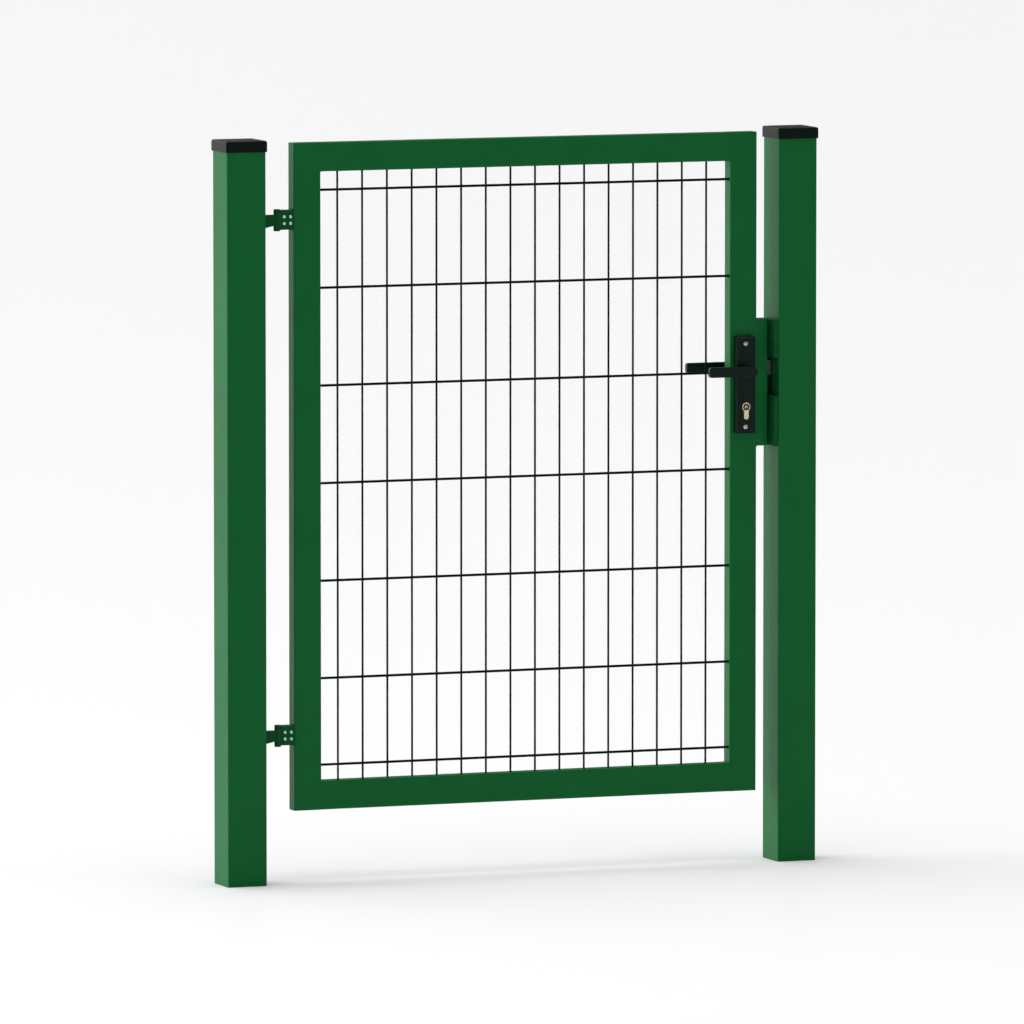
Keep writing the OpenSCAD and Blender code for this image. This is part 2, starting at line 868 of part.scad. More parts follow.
module plate_screws() {
  color(steel)
    for (z = plate_screw_zs)
      difference() {
        union() {
          rod_y(lock_x, z, plate_y + head_inset, plate_y + plate_head_h, plate_head_d);
          rod_y(lock_x, z, plate_y + plate_head_h, -plate_y - plate_head_h - thread_short,
                plate_screw_d);
        }
        translate([lock_x, plate_y + head_inset, z])
          rotate([90, 0, 0]) hex_socket(plate_socket, plate_socket_h);
      }
}

module plate_sleeves() {
  color(steel)
    for (z = plate_screw_zs)
      difference() {
        union() {
          rod_y(lock_x, z, plate_y + plate_head_h + screw_room, -plate_y - plate_head_h, sleeve_d);
          rod_y(lock_x, z, -plate_y - plate_head_h, -plate_y - head_inset, plate_head_d);
        }
        rod_y(lock_x, z, plate_y, -plate_y - plate_head_h - sleeve_floor,
              plate_screw_d + 2 * bore_fit);
        translate([lock_x, -plate_y - head_inset, z])
          rotate([-90, 0, 0]) hex_socket(plate_socket, plate_socket_h);
      }
}

module spindle() {
  half = spindle_s / 2;
  color(steel)
    block(lock_x - half, lock_x + half, -spindle_half, spindle_half,
          spindle_z - half, spindle_z + half);
}

module lever_outline() {
  corner = lever_h / 2 - lever_tip_r;
  translate([lock_x, spindle_z]) circle(d = neck_d);
  translate([lock_x - lever_l + lever_tip_r, spindle_z - lever_h / 2])
    square([lever_l - lever_tip_r, lever_h]);
  translate([lock_x - lever_l, spindle_z - corner]) square([lever_l, 2 * corner]);
  for (side = [-1, 1])
    translate([lock_x - lever_l + lever_tip_r, spindle_z + side * corner])
      circle(r = lever_tip_r);
}

module lever_set() {
  half = lever_t / 2;
  difference() {
    union() {
      rod_y(lock_x, spindle_z, plate_y - journal_gap - cut, front_y - journal_gap, journal_d);
      rod_y(lock_x, spindle_z, lever_mid_y - half, plate_y - journal_gap, neck_d);
      slab_y(lever_mid_y - half, lever_mid_y + half) lever_outline();
    }
    spindle_hole(-spindle_half - cut, 0);
    rod_z(lock_x, lever_screw_y, spindle_z - neck_d, spindle_z,
          lever_screw_d + 2 * bore_fit);
  }
}

module front_lever() {
  color(lock_black) lever_set();
}

module rear_lever() {
  color(lock_black) mirror([0, 1, 0]) lever_set();
}

module lever_screws() {
  top = spindle_z - spindle_s / 2 - bore_fit;
  bottom = top - lever_screw_l;
  color(steel)
    for (side = [-1, 1])
      difference() {
        rod_z(lock_x, side * lever_screw_y, bottom, top, lever_screw_d);
        translate([lock_x, side * lever_screw_y, bottom])
          rotate([180, 0, 0]) hex_socket(lever_socket, lever_socket_h);
      }
}

// ---- Keep, stop lip and buffers ----

module keep_screw_holes(r) {
  for (y = keep_screw_ys)
    for (z = keep_screw_zs)
      rod_x(y, z, keep_x0 - cut, post_face + post_wall + cut, 2 * r);
}

module keep() {
  color(dark_green)
    difference() {
      union() {
        block(keep_x0, post_face, keep_y0, lip_y1, box_z0, box_z1);
        block(lip_x0, keep_x0 + cut, lip_y0, lip_y1, box_z0, box_z1);
      }
      block(keep_x0 - cut, post_face - keep_web, keep_y0 - cut, recess_back,
            latch_z0 - recess_below, latch_z1 + recess_above);
      dead_pocket(post_face + cut);
      keep_screw_holes(keep_screw_d / 2 + bore_fit);
      for (y = keep_screw_ys)
        for (z = keep_screw_zs)
          rod_x(y, z, keep_x0 - cut, keep_x0 + keep_head_h, keep_head_d + 2 * screw_room);
      for (z = buffer_zs)
        rod_y(buffer_x, z, lip_y0 - cut, lip_y1 + cut, buffer_stem_d + 2 * bore_fit);
    }
}

module keep_screws() {
  head_x = keep_x0 + head_inset;
  color(steel)
    for (y = keep_screw_ys)
      for (z = keep_screw_zs)
        difference() {
          union() {
            rod_x(y, z, head_x, keep_x0 + keep_head_h, keep_head_d);
            rod_x(y, z, keep_x0 + keep_head_h, keep_x0 + keep_screw_l, keep_screw_d);
          }
          translate([head_x, y, z]) rotate([0, -90, 0]) hex_socket(plate_socket, keep_socket_h);
        }
}

module stop_buffers() {
  color(rubber_black)
    for (z = buffer_zs) {
      rod_y(buffer_x, z, rear_y + buffer_gap, lip_y0, buffer_d);
      rod_y(buffer_x, z, lip_y0, lip_y1, buffer_stem_d);
      rod_y(buffer_x, z, lip_y1, lip_y1 + buffer_head_h, buffer_head_d);
    }
}

hinge_post();
latch_post();
hinge_post_cap();
latch_post_cap();
upper_hinge_arm();
lower_hinge_arm();
hinge_pins();
hinge_washers();
keep();
keep_screws();
stop_buffers();
hinge_stile();
lock_stile();
top_rail();
bottom_rail();
stile_end_plates();
upright_wires();
level_wires();
hinge_blocks();
upper_hinge_plate();
lower_hinge_plate();
hinge_screws();
lock_box();
faceplate();
faceplate_screws();
lock_case();
latch_spring();
lever_spring();
front_plate();
rear_plate();
plate_screws();
plate_sleeves();
cylinder_body();
cylinder_screw();
spindle();
follower();
front_lever();
rear_lever();
lever_screws();
latch_bolt();
cylinder_plug();
lock_cam();
deadbolt();
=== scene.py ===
"""Finished looks for a framed wire-mesh gate leaf hung between two square steel posts.

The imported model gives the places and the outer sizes. Each sub-assembly below is a class that
dresses the model's own nodes, or builds the finer pieces that stand for them: rounded edges,
coated wires with their spot welds, rippled weld beads, socket screws, the moulded lever handles
and the profile cylinder. Lengths are in metres, X runs along the fence, Y away from the front
and Z up.
"""

import json
import logging
import math
from abc import ABC, abstractmethod
from collections.abc import Callable, Iterable, Sequence
from dataclasses import dataclass
from enum import Enum
from functools import reduce
from typing import ClassVar

import bmesh
import bpy
from mathutils import Matrix, Vector

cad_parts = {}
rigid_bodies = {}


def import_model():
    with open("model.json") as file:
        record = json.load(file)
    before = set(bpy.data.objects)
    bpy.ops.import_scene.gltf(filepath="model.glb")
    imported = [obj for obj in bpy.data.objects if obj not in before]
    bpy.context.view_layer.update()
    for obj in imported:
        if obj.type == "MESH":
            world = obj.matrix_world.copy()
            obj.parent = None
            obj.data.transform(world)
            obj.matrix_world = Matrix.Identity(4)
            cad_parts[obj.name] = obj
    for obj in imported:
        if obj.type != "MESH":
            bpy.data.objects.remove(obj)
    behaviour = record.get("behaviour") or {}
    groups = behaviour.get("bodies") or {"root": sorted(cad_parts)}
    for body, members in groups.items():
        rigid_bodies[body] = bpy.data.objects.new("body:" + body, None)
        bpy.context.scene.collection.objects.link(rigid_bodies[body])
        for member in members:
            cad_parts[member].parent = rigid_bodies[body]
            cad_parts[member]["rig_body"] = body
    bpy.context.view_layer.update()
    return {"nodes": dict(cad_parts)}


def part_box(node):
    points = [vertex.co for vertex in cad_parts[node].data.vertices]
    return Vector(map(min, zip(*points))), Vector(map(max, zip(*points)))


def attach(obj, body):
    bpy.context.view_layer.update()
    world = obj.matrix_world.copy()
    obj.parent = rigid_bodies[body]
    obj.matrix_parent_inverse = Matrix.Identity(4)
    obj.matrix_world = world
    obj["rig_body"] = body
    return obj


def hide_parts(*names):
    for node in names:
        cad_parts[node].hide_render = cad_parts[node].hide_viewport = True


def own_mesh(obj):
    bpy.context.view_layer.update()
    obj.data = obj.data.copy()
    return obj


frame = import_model()

LOG = logging.getLogger("gate")
MM = 0.001
TINY = 1e-6
SORT_DIGITS = 4
HARD_TURN = math.radians(34)
ROUNDED_TURN = math.radians(28)
FLAT_TURN = math.radians(0.5)
LONG_EDGE = 2.4 * MM
ROUND_PROFILE = 0.5

Triple = tuple[float, float, float]
Pair = tuple[float, float]
Socket = bpy.types.NodeSocket
Piece = bpy.types.Object
Shape = bmesh.types.BMesh


class Axis(Enum):
    """The three directions of the frame."""

    X = 0
    Y = 1
    Z = 2

    def vector(self, length: float = 1.0) -> Vector:
        """Gives a vector of a length along this axis."""
        way = Vector((0, 0, 0))
        way[self.value] = length
        return way


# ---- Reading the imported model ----


@dataclass(frozen=True)
class Span:
    """A box in the frame, given by its lowest and highest corners."""

    low: Vector
    high: Vector

    @property
    def middle(self) -> Vector:
        """The centre of the box."""
        return (self.low + self.high) / 2

    @property
    def size(self) -> Vector:
        """The length of the box along each axis."""
        return self.high - self.low

    def end(self, along: Axis, at_high: bool) -> Vector:
        """Gives the middle of one of the two faces across an axis."""
        place = self.middle
        place[along.value] = (self.high if at_high else self.low)[along.value]
        return place


def span(node: str) -> Span:
    """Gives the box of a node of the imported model."""
    return Span(*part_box(node))


def body_of(node: str) -> str:
    """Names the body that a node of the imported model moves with."""
    return frame["nodes"][node]["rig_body"]


def merged(node: str) -> Shape:
    """Copies a node's mesh and joins its loose triangles.

    Args:
        node: Name of the node.

    Returns:
        A new bmesh in the frame's coordinates, to be freed by the caller.
    """
    shape = bmesh.new()
    shape.from_mesh(frame["nodes"][node].data)
    bmesh.ops.remove_doubles(shape, verts=shape.verts, dist=TINY)
    return shape


def solids(node: str) -> list[Span]:
    """Finds the separate solids of a node.

    Args:
        node: Name of the node.

    Returns:
        The box of each solid, ordered along X, then Y, then Z.
    """
    shape = merged(node)
    unseen = set(shape.verts)
    boxes = []
    while unseen:
        reached = [unseen.pop()]
        points = []
        while reached:
            vertex = reached.pop()
            points.append(vertex.co.copy())
            for edge in vertex.link_edges:
                other = edge.other_vert(vertex)
                if other in unseen:
                    unseen.remove(other)
                    reached.append(other)
        boxes.append(Span(*(Vector(pick(p[axis.value] for p in points) for axis in Axis)
                            for pick in (min, max))))
    shape.free()
    return sorted(boxes, key=lambda box: tuple(round(v, SORT_DIGITS) for v in box.middle))


# ---- Node trees ----


class Graph:
    """A node tree with short calls that add, set and join its nodes."""

    def __init__(self, tree: bpy.types.NodeTree) -> None:
        """Starts from an existing tree and empties it.

        Args:
            tree: The tree to fill.
        """
        self.tree = tree
        tree.nodes.clear()

    def add(self, kind: str, values: dict[str | int, object] | None = None,
            **settings: object) -> bpy.types.Node:
        """Adds one node.

        Args:
            kind: Blender's name for the node's type.
            values: What each input holds or is joined to, by the input's name or number.
            settings: Properties of the node itself.

        Returns:
            The new node.
        """
        node = self.tree.nodes.new(kind)
        for name, value in settings.items():
            setattr(node, name, value)
        for key, value in (values or {}).items():
            if isinstance(value, Socket):
                self.tree.links.new(value, node.inputs[key])
            else:
                node.inputs[key].default_value = value
        return node

    def compute(self, operation: str, *values: object) -> Socket:
        """Adds one step of arithmetic and gives its result."""
        return self.add("ShaderNodeMath", dict(enumerate(values)),
                        operation=operation).outputs["Value"]

    def remap(self, value: Socket, source: Pair, target: Pair = (0.0, 1.0),
              **settings: object) -> Socket:
        """Carries a value from one range over to another, and gives the result."""
        return self.add("ShaderNodeMapRange", {
            "Value": value, "From Min": source[0], "From Max": source[1],
            "To Min": target[0], "To Max": target[1],
        }, **settings).outputs["Result"]

    def relief(self, height: Socket, depth: float, strength: float = 1.0,
               under: Socket | None = None) -> Socket:
        """Adds bumps to the shading normal.

        Args:
            height: The pattern of the bumps.
            depth: Height of a full bump.
            strength: Share of the bumps that shows.
            under: The normal that they are added to, if it isn't the plain one.

        Returns:
            The new normal.
        """
        values = {"Strength": strength, "Distance": depth, "Height": height}
        if under is not None:
            values["Normal"] = under
        return self.add("ShaderNodeBump", values).outputs["Normal"]


# ---- Finishes ----


@dataclass(frozen=True)
class Finish:
    """A surface finish for one material slot of the record.

    The colour wanders between two tones in soft patches, the gloss wanders on a finer scale,
    and a fine relief lies over the whole surface.

    Args:
        slot: The record's material slot.
        colour: Main tone, as linear red, green and blue.
        second: The tone that the patches drift to.
        roughness: Mean roughness.
        spread: How far the roughness wanders to either side of its mean.
        patch: Size of the tone patches.
        relief: Size of the relief's bumps.
        depth: Height of the relief's bumps.
        metallic: Nought for a paint or a plastic, one for bare metal.
        specular: Strength of the mirror-like part at the surface.
    """

    slot: str
    colour: Triple
    second: Triple
    roughness: float = 0.45
    spread: float = 0.05
    patch: float = 0.05
    relief: float = 0.0015
    depth: float = 0.00002
    metallic: float = 0.0
    specular: float = 0.5

    TONE_DRIFT: ClassVar[Pair] = (0.35, 0.65)
    WHOLE: ClassVar[Pair] = (0.0, 1.0)
    GLOSS_FINENESS: ClassVar[float] = 4

    @property
    def roughnesses(self) -> Pair:
        """The lowest and the highest roughness."""
        return self.roughness - self.spread, self.roughness + self.spread

    def noise(self, graph: Graph, place: Socket, size: float,
              detail: float = 3.0) -> Socket:
        """Adds a soft random pattern.

        Args:
            graph: The material's tree.
            place: The coordinates it reads.
            size: Size of its features.
            detail: Number of finer layers.

        Returns:
            The pattern's value, from nought to one.
        """
        values = {"Vector": place, "Scale": 1 / size, "Detail": detail}
        return graph.add("ShaderNodeTexNoise", values).outputs["Fac"]

    def tone(self, graph: Graph, place: Socket) -> Socket:
        """Drifts between the finish's two tones."""
        drift = graph.remap(self.noise(graph, place, self.patch), self.TONE_DRIFT)
        mix = graph.add("ShaderNodeMix", {
            0: drift, 6: (*self.colour, 1), 7: (*self.second, 1),
        }, data_type="RGBA")
        return mix.outputs[2]

    def gloss(self, graph: Graph, place: Socket) -> Socket:
        """Lets the roughness wander about its mean."""
        pattern = self.noise(graph, place, self.patch / self.GLOSS_FINENESS)
        return graph.remap(pattern, self.WHOLE, self.roughnesses)

    def surface(self, graph: Graph, place: Socket) -> Socket:
        """Gives the shading normal, roughened by the finish's relief."""
        return graph.relief(self.noise(graph, place, self.relief), self.depth)

    def material(self) -> bpy.types.Material:
        """Makes the material once, and gives the same one after that."""
        known = bpy.data.materials.get(f"{self.slot}_finish")
        if known:
            return known
        material = bpy.data.materials.new(f"{self.slot}_finish")
        material.use_nodes = True
        graph = Graph(material.node_tree)
        place = graph.add("ShaderNodeTexCoord").outputs["Object"]
        shader = graph.add("ShaderNodeBsdfPrincipled", {
            "Base Color": self.tone(graph, place), "Roughness": self.gloss(graph, place),
            "Normal": self.surface(graph, place), "Metallic": self.metallic,
            "Specular IOR Level": self.specular,
        })
        graph.add("ShaderNodeOutputMaterial", {"Surface": shader.outputs["BSDF"]})
        return material


@dataclass(frozen=True)
class PowderCoat(Finish):
    """Baked polyester powder: a soft orange peel, with a finer ripple inside it."""

    fine: float = 0.0007

    RIPPLE_SHARE: ClassVar[float] = 0.6
    RIPPLE_SHALLOWNESS: ClassVar[float] = 4

    def surface(self, graph: Graph, place: Socket) -> Socket:
        """Lays the fine ripple over the orange peel."""
        peel = super().surface(graph, place)
        ripple = self.noise(graph, place, self.fine, detail=1.0)
        return graph.relief(ripple, self.depth / self.RIPPLE_SHALLOWNESS, self.RIPPLE_SHARE, peel)


@dataclass(frozen=True)
class MouldedPlastic(Finish):
    """Moulded plastic with the pebbled grain of a textured mould."""

    GRAIN_SHARE: ClassVar[float] = 0.8

    def surface(self, graph: Graph, place: Socket) -> Socket:
        """Presses rounded pebbles into the surface."""
        pebbles = graph.add("ShaderNodeTexVoronoi", {"Vector": place, "Scale": 1 / self.relief},
                            feature="SMOOTH_F1")
        return graph.relief(pebbles.outputs["Distance"], self.depth, self.GRAIN_SHARE)


@dataclass(frozen=True)
class BrushedMetal(Finish):
    """Metal with fine scratches that run one way."""

    along: Axis = Axis.Z
    stretch: float = 40.0

    SCRATCH_GLOSS: ClassVar[Pair] = (0.3, 0.7)

    def scratches(self, graph: Graph, place: Socket) -> Socket:
        """Stretches a fine pattern along the direction of the brushing."""
        scale = [1.0, 1.0, 1.0]
        scale[self.along.value] = 1 / self.stretch
        turned = graph.add("ShaderNodeMapping", {"Vector": place, "Scale": scale})
        return self.noise(graph, turned.outputs["Vector"], self.relief)

    def gloss(self, graph: Graph, place: Socket) -> Socket:
        """Lets each scratch have its own gloss."""
        return graph.remap(self.scratches(graph, place), self.SCRATCH_GLOSS, self.roughnesses)

    def surface(self, graph: Graph, place: Socket) -> Socket:
        """Cuts the scratches into the surface."""
        return graph.relief(self.scratches(graph, place), self.depth)


GREEN = PowderCoat("green_paint", (0.0005, 0.122, 0.025), (0.0005, 0.114, 0.023),
                   roughness=0.42, patch=0.09, relief=0.003, depth=0.00004, specular=0.14)
# Darker paint of the hinge fittings. On the keep and its screws the same dark green is also painted
# shade for the gap between the leaf and the latch post.
HINGE_GREEN_AND_KEEP_SHADE = PowderCoat("hinge_paint", (0.0005, 0.078, 0.019), (0.0005, 0.062, 0.015),
                         roughness=0.38, patch=0.012, relief=0.002, depth=0.00005,
                         specular=0.10)
WIRE_GREEN = PowderCoat("wire_coating", (0.0005, 0.011, 0.003), (0.0005, 0.008, 0.002),
                        roughness=0.35, patch=0.03, relief=0.0015, depth=0.00003,
                        specular=0.03)
CAP_BLACK = MouldedPlastic("cap_plastic", (0.0005, 0.005, 0.002), (0.001, 0.006, 0.003),
                           roughness=0.36, patch=0.02, relief=0.0009, depth=0.00005,
                           specular=0.1)
LEVER_BLACK = MouldedPlastic("lever_black", (0.001, 0.009, 0.005), (0.002, 0.011, 0.007),
                             roughness=0.34, patch=0.015, relief=0.0007, depth=0.00003,
                             specular=0.14)
ZINC = BrushedMetal("zinc_steel", (0.55, 0.57, 0.58), (0.47, 0.49, 0.52), roughness=0.34,
                    spread=0.10, patch=0.006, relief=0.0004, depth=0.000008, metallic=1.0)
MINT = BrushedMetal("screw_mint", (0.60, 0.88, 0.70), (0.52, 0.80, 0.62), roughness=0.45,
                    spread=0.08, patch=0.002, relief=0.0004, depth=0.000006, metallic=1.0)
STAINLESS = BrushedMetal("stainless", (0.58, 0.57, 0.55), (0.52, 0.51, 0.50), roughness=0.28,
                         spread=0.10, patch=0.02, relief=0.0003, depth=0.000006, metallic=1.0)
SPRING = BrushedMetal("spring_steel", (0.32, 0.33, 0.35), (0.26, 0.27, 0.29), roughness=0.30,
                      spread=0.08, patch=0.004, relief=0.0003, depth=0.000005, metallic=1.0)
NICKEL = BrushedMetal("nickel_brass", (0.80, 0.74, 0.50), (0.70, 0.64, 0.42), roughness=0.30,
                      spread=0.08, patch=0.004, relief=0.0002, depth=0.000005, metallic=1.0,
                      along=Axis.X)
# Dark bronze for the hinge washers. On the cylinder plug's dished ring this dark finish is painted
# shade for the hollow round the boss.
BRONZE_AND_PLUG_SHADE = BrushedMetal("bronze", (0.11, 0.075, 0.035), (0.09, 0.06, 0.03), roughness=0.45,
                      spread=0.08, patch=0.004, relief=0.0003, depth=0.000006, metallic=1.0)
RUBBER = MouldedPlastic("rubber", (0.010, 0.010, 0.010), (0.014, 0.014, 0.014), roughness=0.70,
                        patch=0.004, relief=0.0005, depth=0.00003, specular=0.25)


# ---- Making pieces ----


def linked(name: str, data: bpy.types.ID) -> Piece:
    """Puts a new object with some data in the scene."""
    piece = bpy.data.objects.new(name, data)
    bpy.context.scene.collection.objects.link(piece)
    return piece


def mesh_of(name: str, shape: Shape) -> bpy.types.Mesh:
    """Turns a shape into a mesh and frees the shape."""
    mesh = bpy.data.meshes.new(name)
    shape.to_mesh(mesh)
    shape.free()
    return mesh


def dress(node: str, finish: Finish) -> Piece:
    """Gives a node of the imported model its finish.

    Args:
        node: Name of the node.
        finish: The finish for all of its material slots.

    Returns:
        The node's object.
    """
    piece = frame["nodes"][node]
    for slot in piece.material_slots:
        slot.material = finish.material()
    return piece


def smooth(mesh: bpy.types.Mesh) -> None:
    """Shades a mesh smoothly, except across its hard edges."""
    mesh.shade_smooth()
    mesh.set_sharp_from_angle(angle=HARD_TURN)


def applied(piece: Piece) -> None:
    """Turns the result of a piece's modifiers into its plain mesh."""
    view = bpy.context.evaluated_depsgraph_get()
    result = bpy.data.meshes.new_from_object(piece.evaluated_get(view), depsgraph=view)
    piece.modifiers.clear()
    piece.data = result
    result.name = piece.name


def add_piece(name: str, shape: Shape, finish: Finish, body: str,
              flat_faces: bool = False) -> Piece:
    """Adds one finished piece to the scene and frees the shape that it came from.

    Args:
        name: Name of the piece.
        shape: Its mesh in the frame's coordinates.
        finish: Its finish.
        body: The body that it moves with.
        flat_faces: Whether big flat faces keep their own normals beside rounded edges.

    Returns:
        The new object.
    """
    mesh = mesh_of(name, shape)
    smooth(mesh)
    piece = linked(name, mesh)
    mesh.materials.append(finish.material())
    if flat_faces:
        weighted = piece.modifiers.new("Flat faces", "WEIGHTED_NORMAL")
        weighted.keep_sharp = True
        applied(piece)
    return settle(piece, finish, body)


def settle(piece: Piece, finish: Finish, body: str) -> Piece:
    """Puts a finished piece on its body and logs its face count."""
    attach(piece, body)
    LOG.info("%s: %d faces on %s", piece.name, len(piece.data.polygons), body)
    return piece


def rounded(node: str, finish: Finish, edge: float, rim: float = 0.3 * MM, steps: int = 3,
            crisp: Callable[[Vector], bool] | None = None) -> Piece:
    """Stands in for a node with a copy whose edges are rounded.

    Args:
        node: Name of the node.
        finish: Its finish.
        edge: Radius along its long edges.
        rim: Radius around its holes and other short edges.
        steps: Number of facets across each rounding.
        crisp: Says of an edge's middle whether the edge stays sharp.

    Returns:
        The copy, which replaces the node.
    """
    shape = merged(node)
    bmesh.ops.dissolve_limit(shape, angle_limit=FLAT_TURN, verts=shape.verts,
                             edges=shape.edges)

    def hard(wanted: Callable[[float], bool]) -> list[bmesh.types.BMEdge]:
        """Picks the hard edges whose length is wanted."""
        return [e for e in shape.edges if e.calc_face_angle(0) > ROUNDED_TURN
                and wanted(e.calc_length())
                and not (crisp and crisp((e.verts[0].co + e.verts[1].co) / 2))]

    for radius, picked in ((edge, hard(lambda length: length > LONG_EDGE)),
                           (rim, hard(lambda length: length <= LONG_EDGE))):
        picked = [e for e in picked if e.is_valid]
        if picked:
            bmesh.ops.bevel(shape, geom=picked, offset=radius, segments=steps, profile=ROUND_PROFILE,
                            affect="EDGES", clamp_overlap=True)
    piece = add_piece(f"{node}_rounded", shape, finish, body_of(node), flat_faces=True)
    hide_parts(node)
    return piece


# ---- Repeats and paths, made with Geometry Nodes ----


class Recipe:
    """A Geometry Nodes tree with named inputs, run on one object and then made plain."""

    def __init__(self, name: str, inputs: dict[str, str]) -> None:
        """Opens a tree whose first input and only output are geometry.

        Args:
            name: Name of the tree.
            inputs: The type of each further input, by its name.
        """
        self.tree = bpy.data.node_groups.new(name, "GeometryNodeTree")
        self.graph = Graph(self.tree)
        for way in ("INPUT", "OUTPUT"):
            self.tree.interface.new_socket(name="Geometry", in_out=way,
                                           socket_type="NodeSocketGeometry")
        self.keys = {}
        for label, kind in {**inputs, "Finish": "NodeSocketMaterial"}.items():
            socket = self.tree.interface.new_socket(name=label, in_out="INPUT", socket_type=kind)
            self.keys[label] = socket.identifier
        self.entry = self.graph.add("NodeGroupInput").outputs

    def close(self, geometry: Socket) -> None:
        """Ends the tree: real geometry in the given finish.

        Args:
            geometry: What the tree has made.
        """
        real = self.graph.add("GeometryNodeRealizeInstances", {"Geometry": geometry})
        painted = self.graph.add("GeometryNodeSetMaterial", {
            "Geometry": real.outputs["Geometry"], "Material": self.entry["Finish"],
        })
        self.graph.add("NodeGroupOutput", {"Geometry": painted.outputs["Geometry"]})

    def run(self, name: str, start: bpy.types.Mesh, finish: Finish, body: str,
            values: dict[str, object]) -> Piece:
        """Makes one plain mesh piece with the tree.

        Args:
            name: Name of the piece.
            start: The points or lines that the tree works on.
            finish: Its finish.
            body: The body that it moves with.
            values: The value of each named input.

        Returns:
            The finished piece.
        """
        piece = linked(name, start)
        modifier = piece.modifiers.new(self.tree.name, "NODES")
        modifier.node_group = self.tree
        for label, value in {**values, "Finish": finish.material()}.items():
            modifier[self.keys[label]] = value
        applied(piece)
        smooth(piece.data)
        return settle(piece, finish, body)


def points_mesh(points: Iterable[Vector]) -> bpy.types.Mesh:
    """Makes a mesh of loose points."""
    mesh = bpy.data.meshes.new("points")
    mesh.from_pydata([tuple(p) for p in points], [], [])
    return mesh


def lines_mesh(paths: Iterable[Sequence[Vector]]) -> bpy.types.Mesh:
    """Makes a mesh of open lines.

    Args:
        paths: The points of each line in turn.

    Returns:
        The mesh, with an edge between each point and the next.
    """
    points, edges = [], []
    for path in paths:
        edges += [(len(points) + i, len(points) + i + 1) for i in range(len(path) - 1)]
        points += [tuple(p) for p in path]
    mesh = bpy.data.meshes.new("lines")
    mesh.from_pydata(points, edges, [])
    return mesh


class Rods(Recipe):
    """Round rods of one length that start at each point."""

    def __init__(self) -> None:
        """Builds the tree."""
        super().__init__("Rods", {"Run": "NodeSocketVector", "Radius": "NodeSocketFloat",
                                  "Sides": "NodeSocketInt"})
        add = self.graph.add
        line = add("GeometryNodeCurvePrimitiveLine", {"End": self.entry["Run"]})
        ring = add("GeometryNodeCurvePrimitiveCircle", {
            "Resolution": self.entry["Sides"], "Radius": self.entry["Radius"],
        })
        rod = add("GeometryNodeCurveToMesh", {
            "Curve": line.outputs["Curve"], "Profile Curve": ring.outputs["Curve"],
            "Fill Caps": True,
        })
        rods = add("GeometryNodeInstanceOnPoints", {
            "Points": self.entry["Geometry"], "Instance": rod.outputs["Mesh"],
        })
        self.close(rods.outputs["Instances"])


class Copies(Recipe):
    """Copies of a template at each point, each one turned and sized a little differently."""

    def __init__(self) -> None:
        """Builds the tree."""
        super().__init__("Copies", {"Template": "NodeSocketObject", "Seed": "NodeSocketInt",
                                    "Turn": "NodeSocketVector", "Spread": "NodeSocketFloat"})
        add = self.graph.add
        template = add("GeometryNodeObjectInfo", {"Object": self.entry["Template"]})
        back = add("ShaderNodeVectorMath", {0: self.entry["Turn"], 1: (-1.0, -1.0, -1.0)},
                   operation="MULTIPLY")
        turn = add("FunctionNodeRandomValue", {
            "Min": back.outputs["Vector"], "Max": self.entry["Turn"],
            "Seed": self.entry["Seed"],
        }, data_type="FLOAT_VECTOR")
        low = self.graph.compute("SUBTRACT", 1.0, self.entry["Spread"])
        size = add("FunctionNodeRandomValue", {
            2: low, 3: 1.0, "Seed": self.entry["Seed"],
        }, data_type="FLOAT")
        copies = add("GeometryNodeInstanceOnPoints", {
            "Points": self.entry["Geometry"], "Instance": template.outputs["Geometry"],
            "Rotation": turn.outputs["Value"], "Scale": size.outputs[1],
        })
        self.close(copies.outputs["Instances"])


class Beads(Recipe):
    """Weld beads along lines, each a rounded strip with the ripples of the weld pool."""

    STEPS_A_RIPPLE: ClassVar[float] = 6.0
    UNEVENNESS: ClassVar[float] = 150.0
    SIDES: ClassVar[int] = 10

    def __init__(self) -> None:
        """Builds the tree."""
        super().__init__("Beads", {"Radius": "NodeSocketFloat", "Ripple": "NodeSocketFloat",
                                   "Rise": "NodeSocketFloat", "Seed": "NodeSocketInt"})
        add, compute = self.graph.add, self.graph.compute
        curve = add("GeometryNodeMeshToCurve", {"Mesh": self.entry["Geometry"]})
        step = compute("DIVIDE", self.entry["Ripple"], self.STEPS_A_RIPPLE)
        even = add("GeometryNodeResampleCurve", {
            "Curve": curve.outputs["Curve"], "Length": step,
        }, mode="LENGTH")
        along = add("GeometryNodeSplineParameter").outputs["Length"]
        wander = add("ShaderNodeTexNoise", {
            "W": self.entry["Seed"], "Scale": self.UNEVENNESS, "Detail": 1.0,
        }, noise_dimensions="4D")
        ripples = compute("DIVIDE", along, self.entry["Ripple"])
        share = compute("FRACT", compute("ADD", ripples, wander.outputs["Fac"]))
        swell = compute("ADD", compute("MULTIPLY", share, self.entry["Rise"]), 1.0)
        ring = add("GeometryNodeCurvePrimitiveCircle", {
            "Resolution": self.SIDES, "Radius": self.entry["Radius"],
        })
        bead = add("GeometryNodeCurveToMesh", {
            "Curve": even.outputs["Curve"], "Profile Curve": ring.outputs["Curve"],
            "Scale": swell, "Fill Caps": True,
        })
        self.close(bead.outputs["Mesh"])


@dataclass(frozen=True)
class Kit:
    """The three recipes that the sub-assemblies share."""

    rods: Rods
    copies: Copies
    beads: Beads


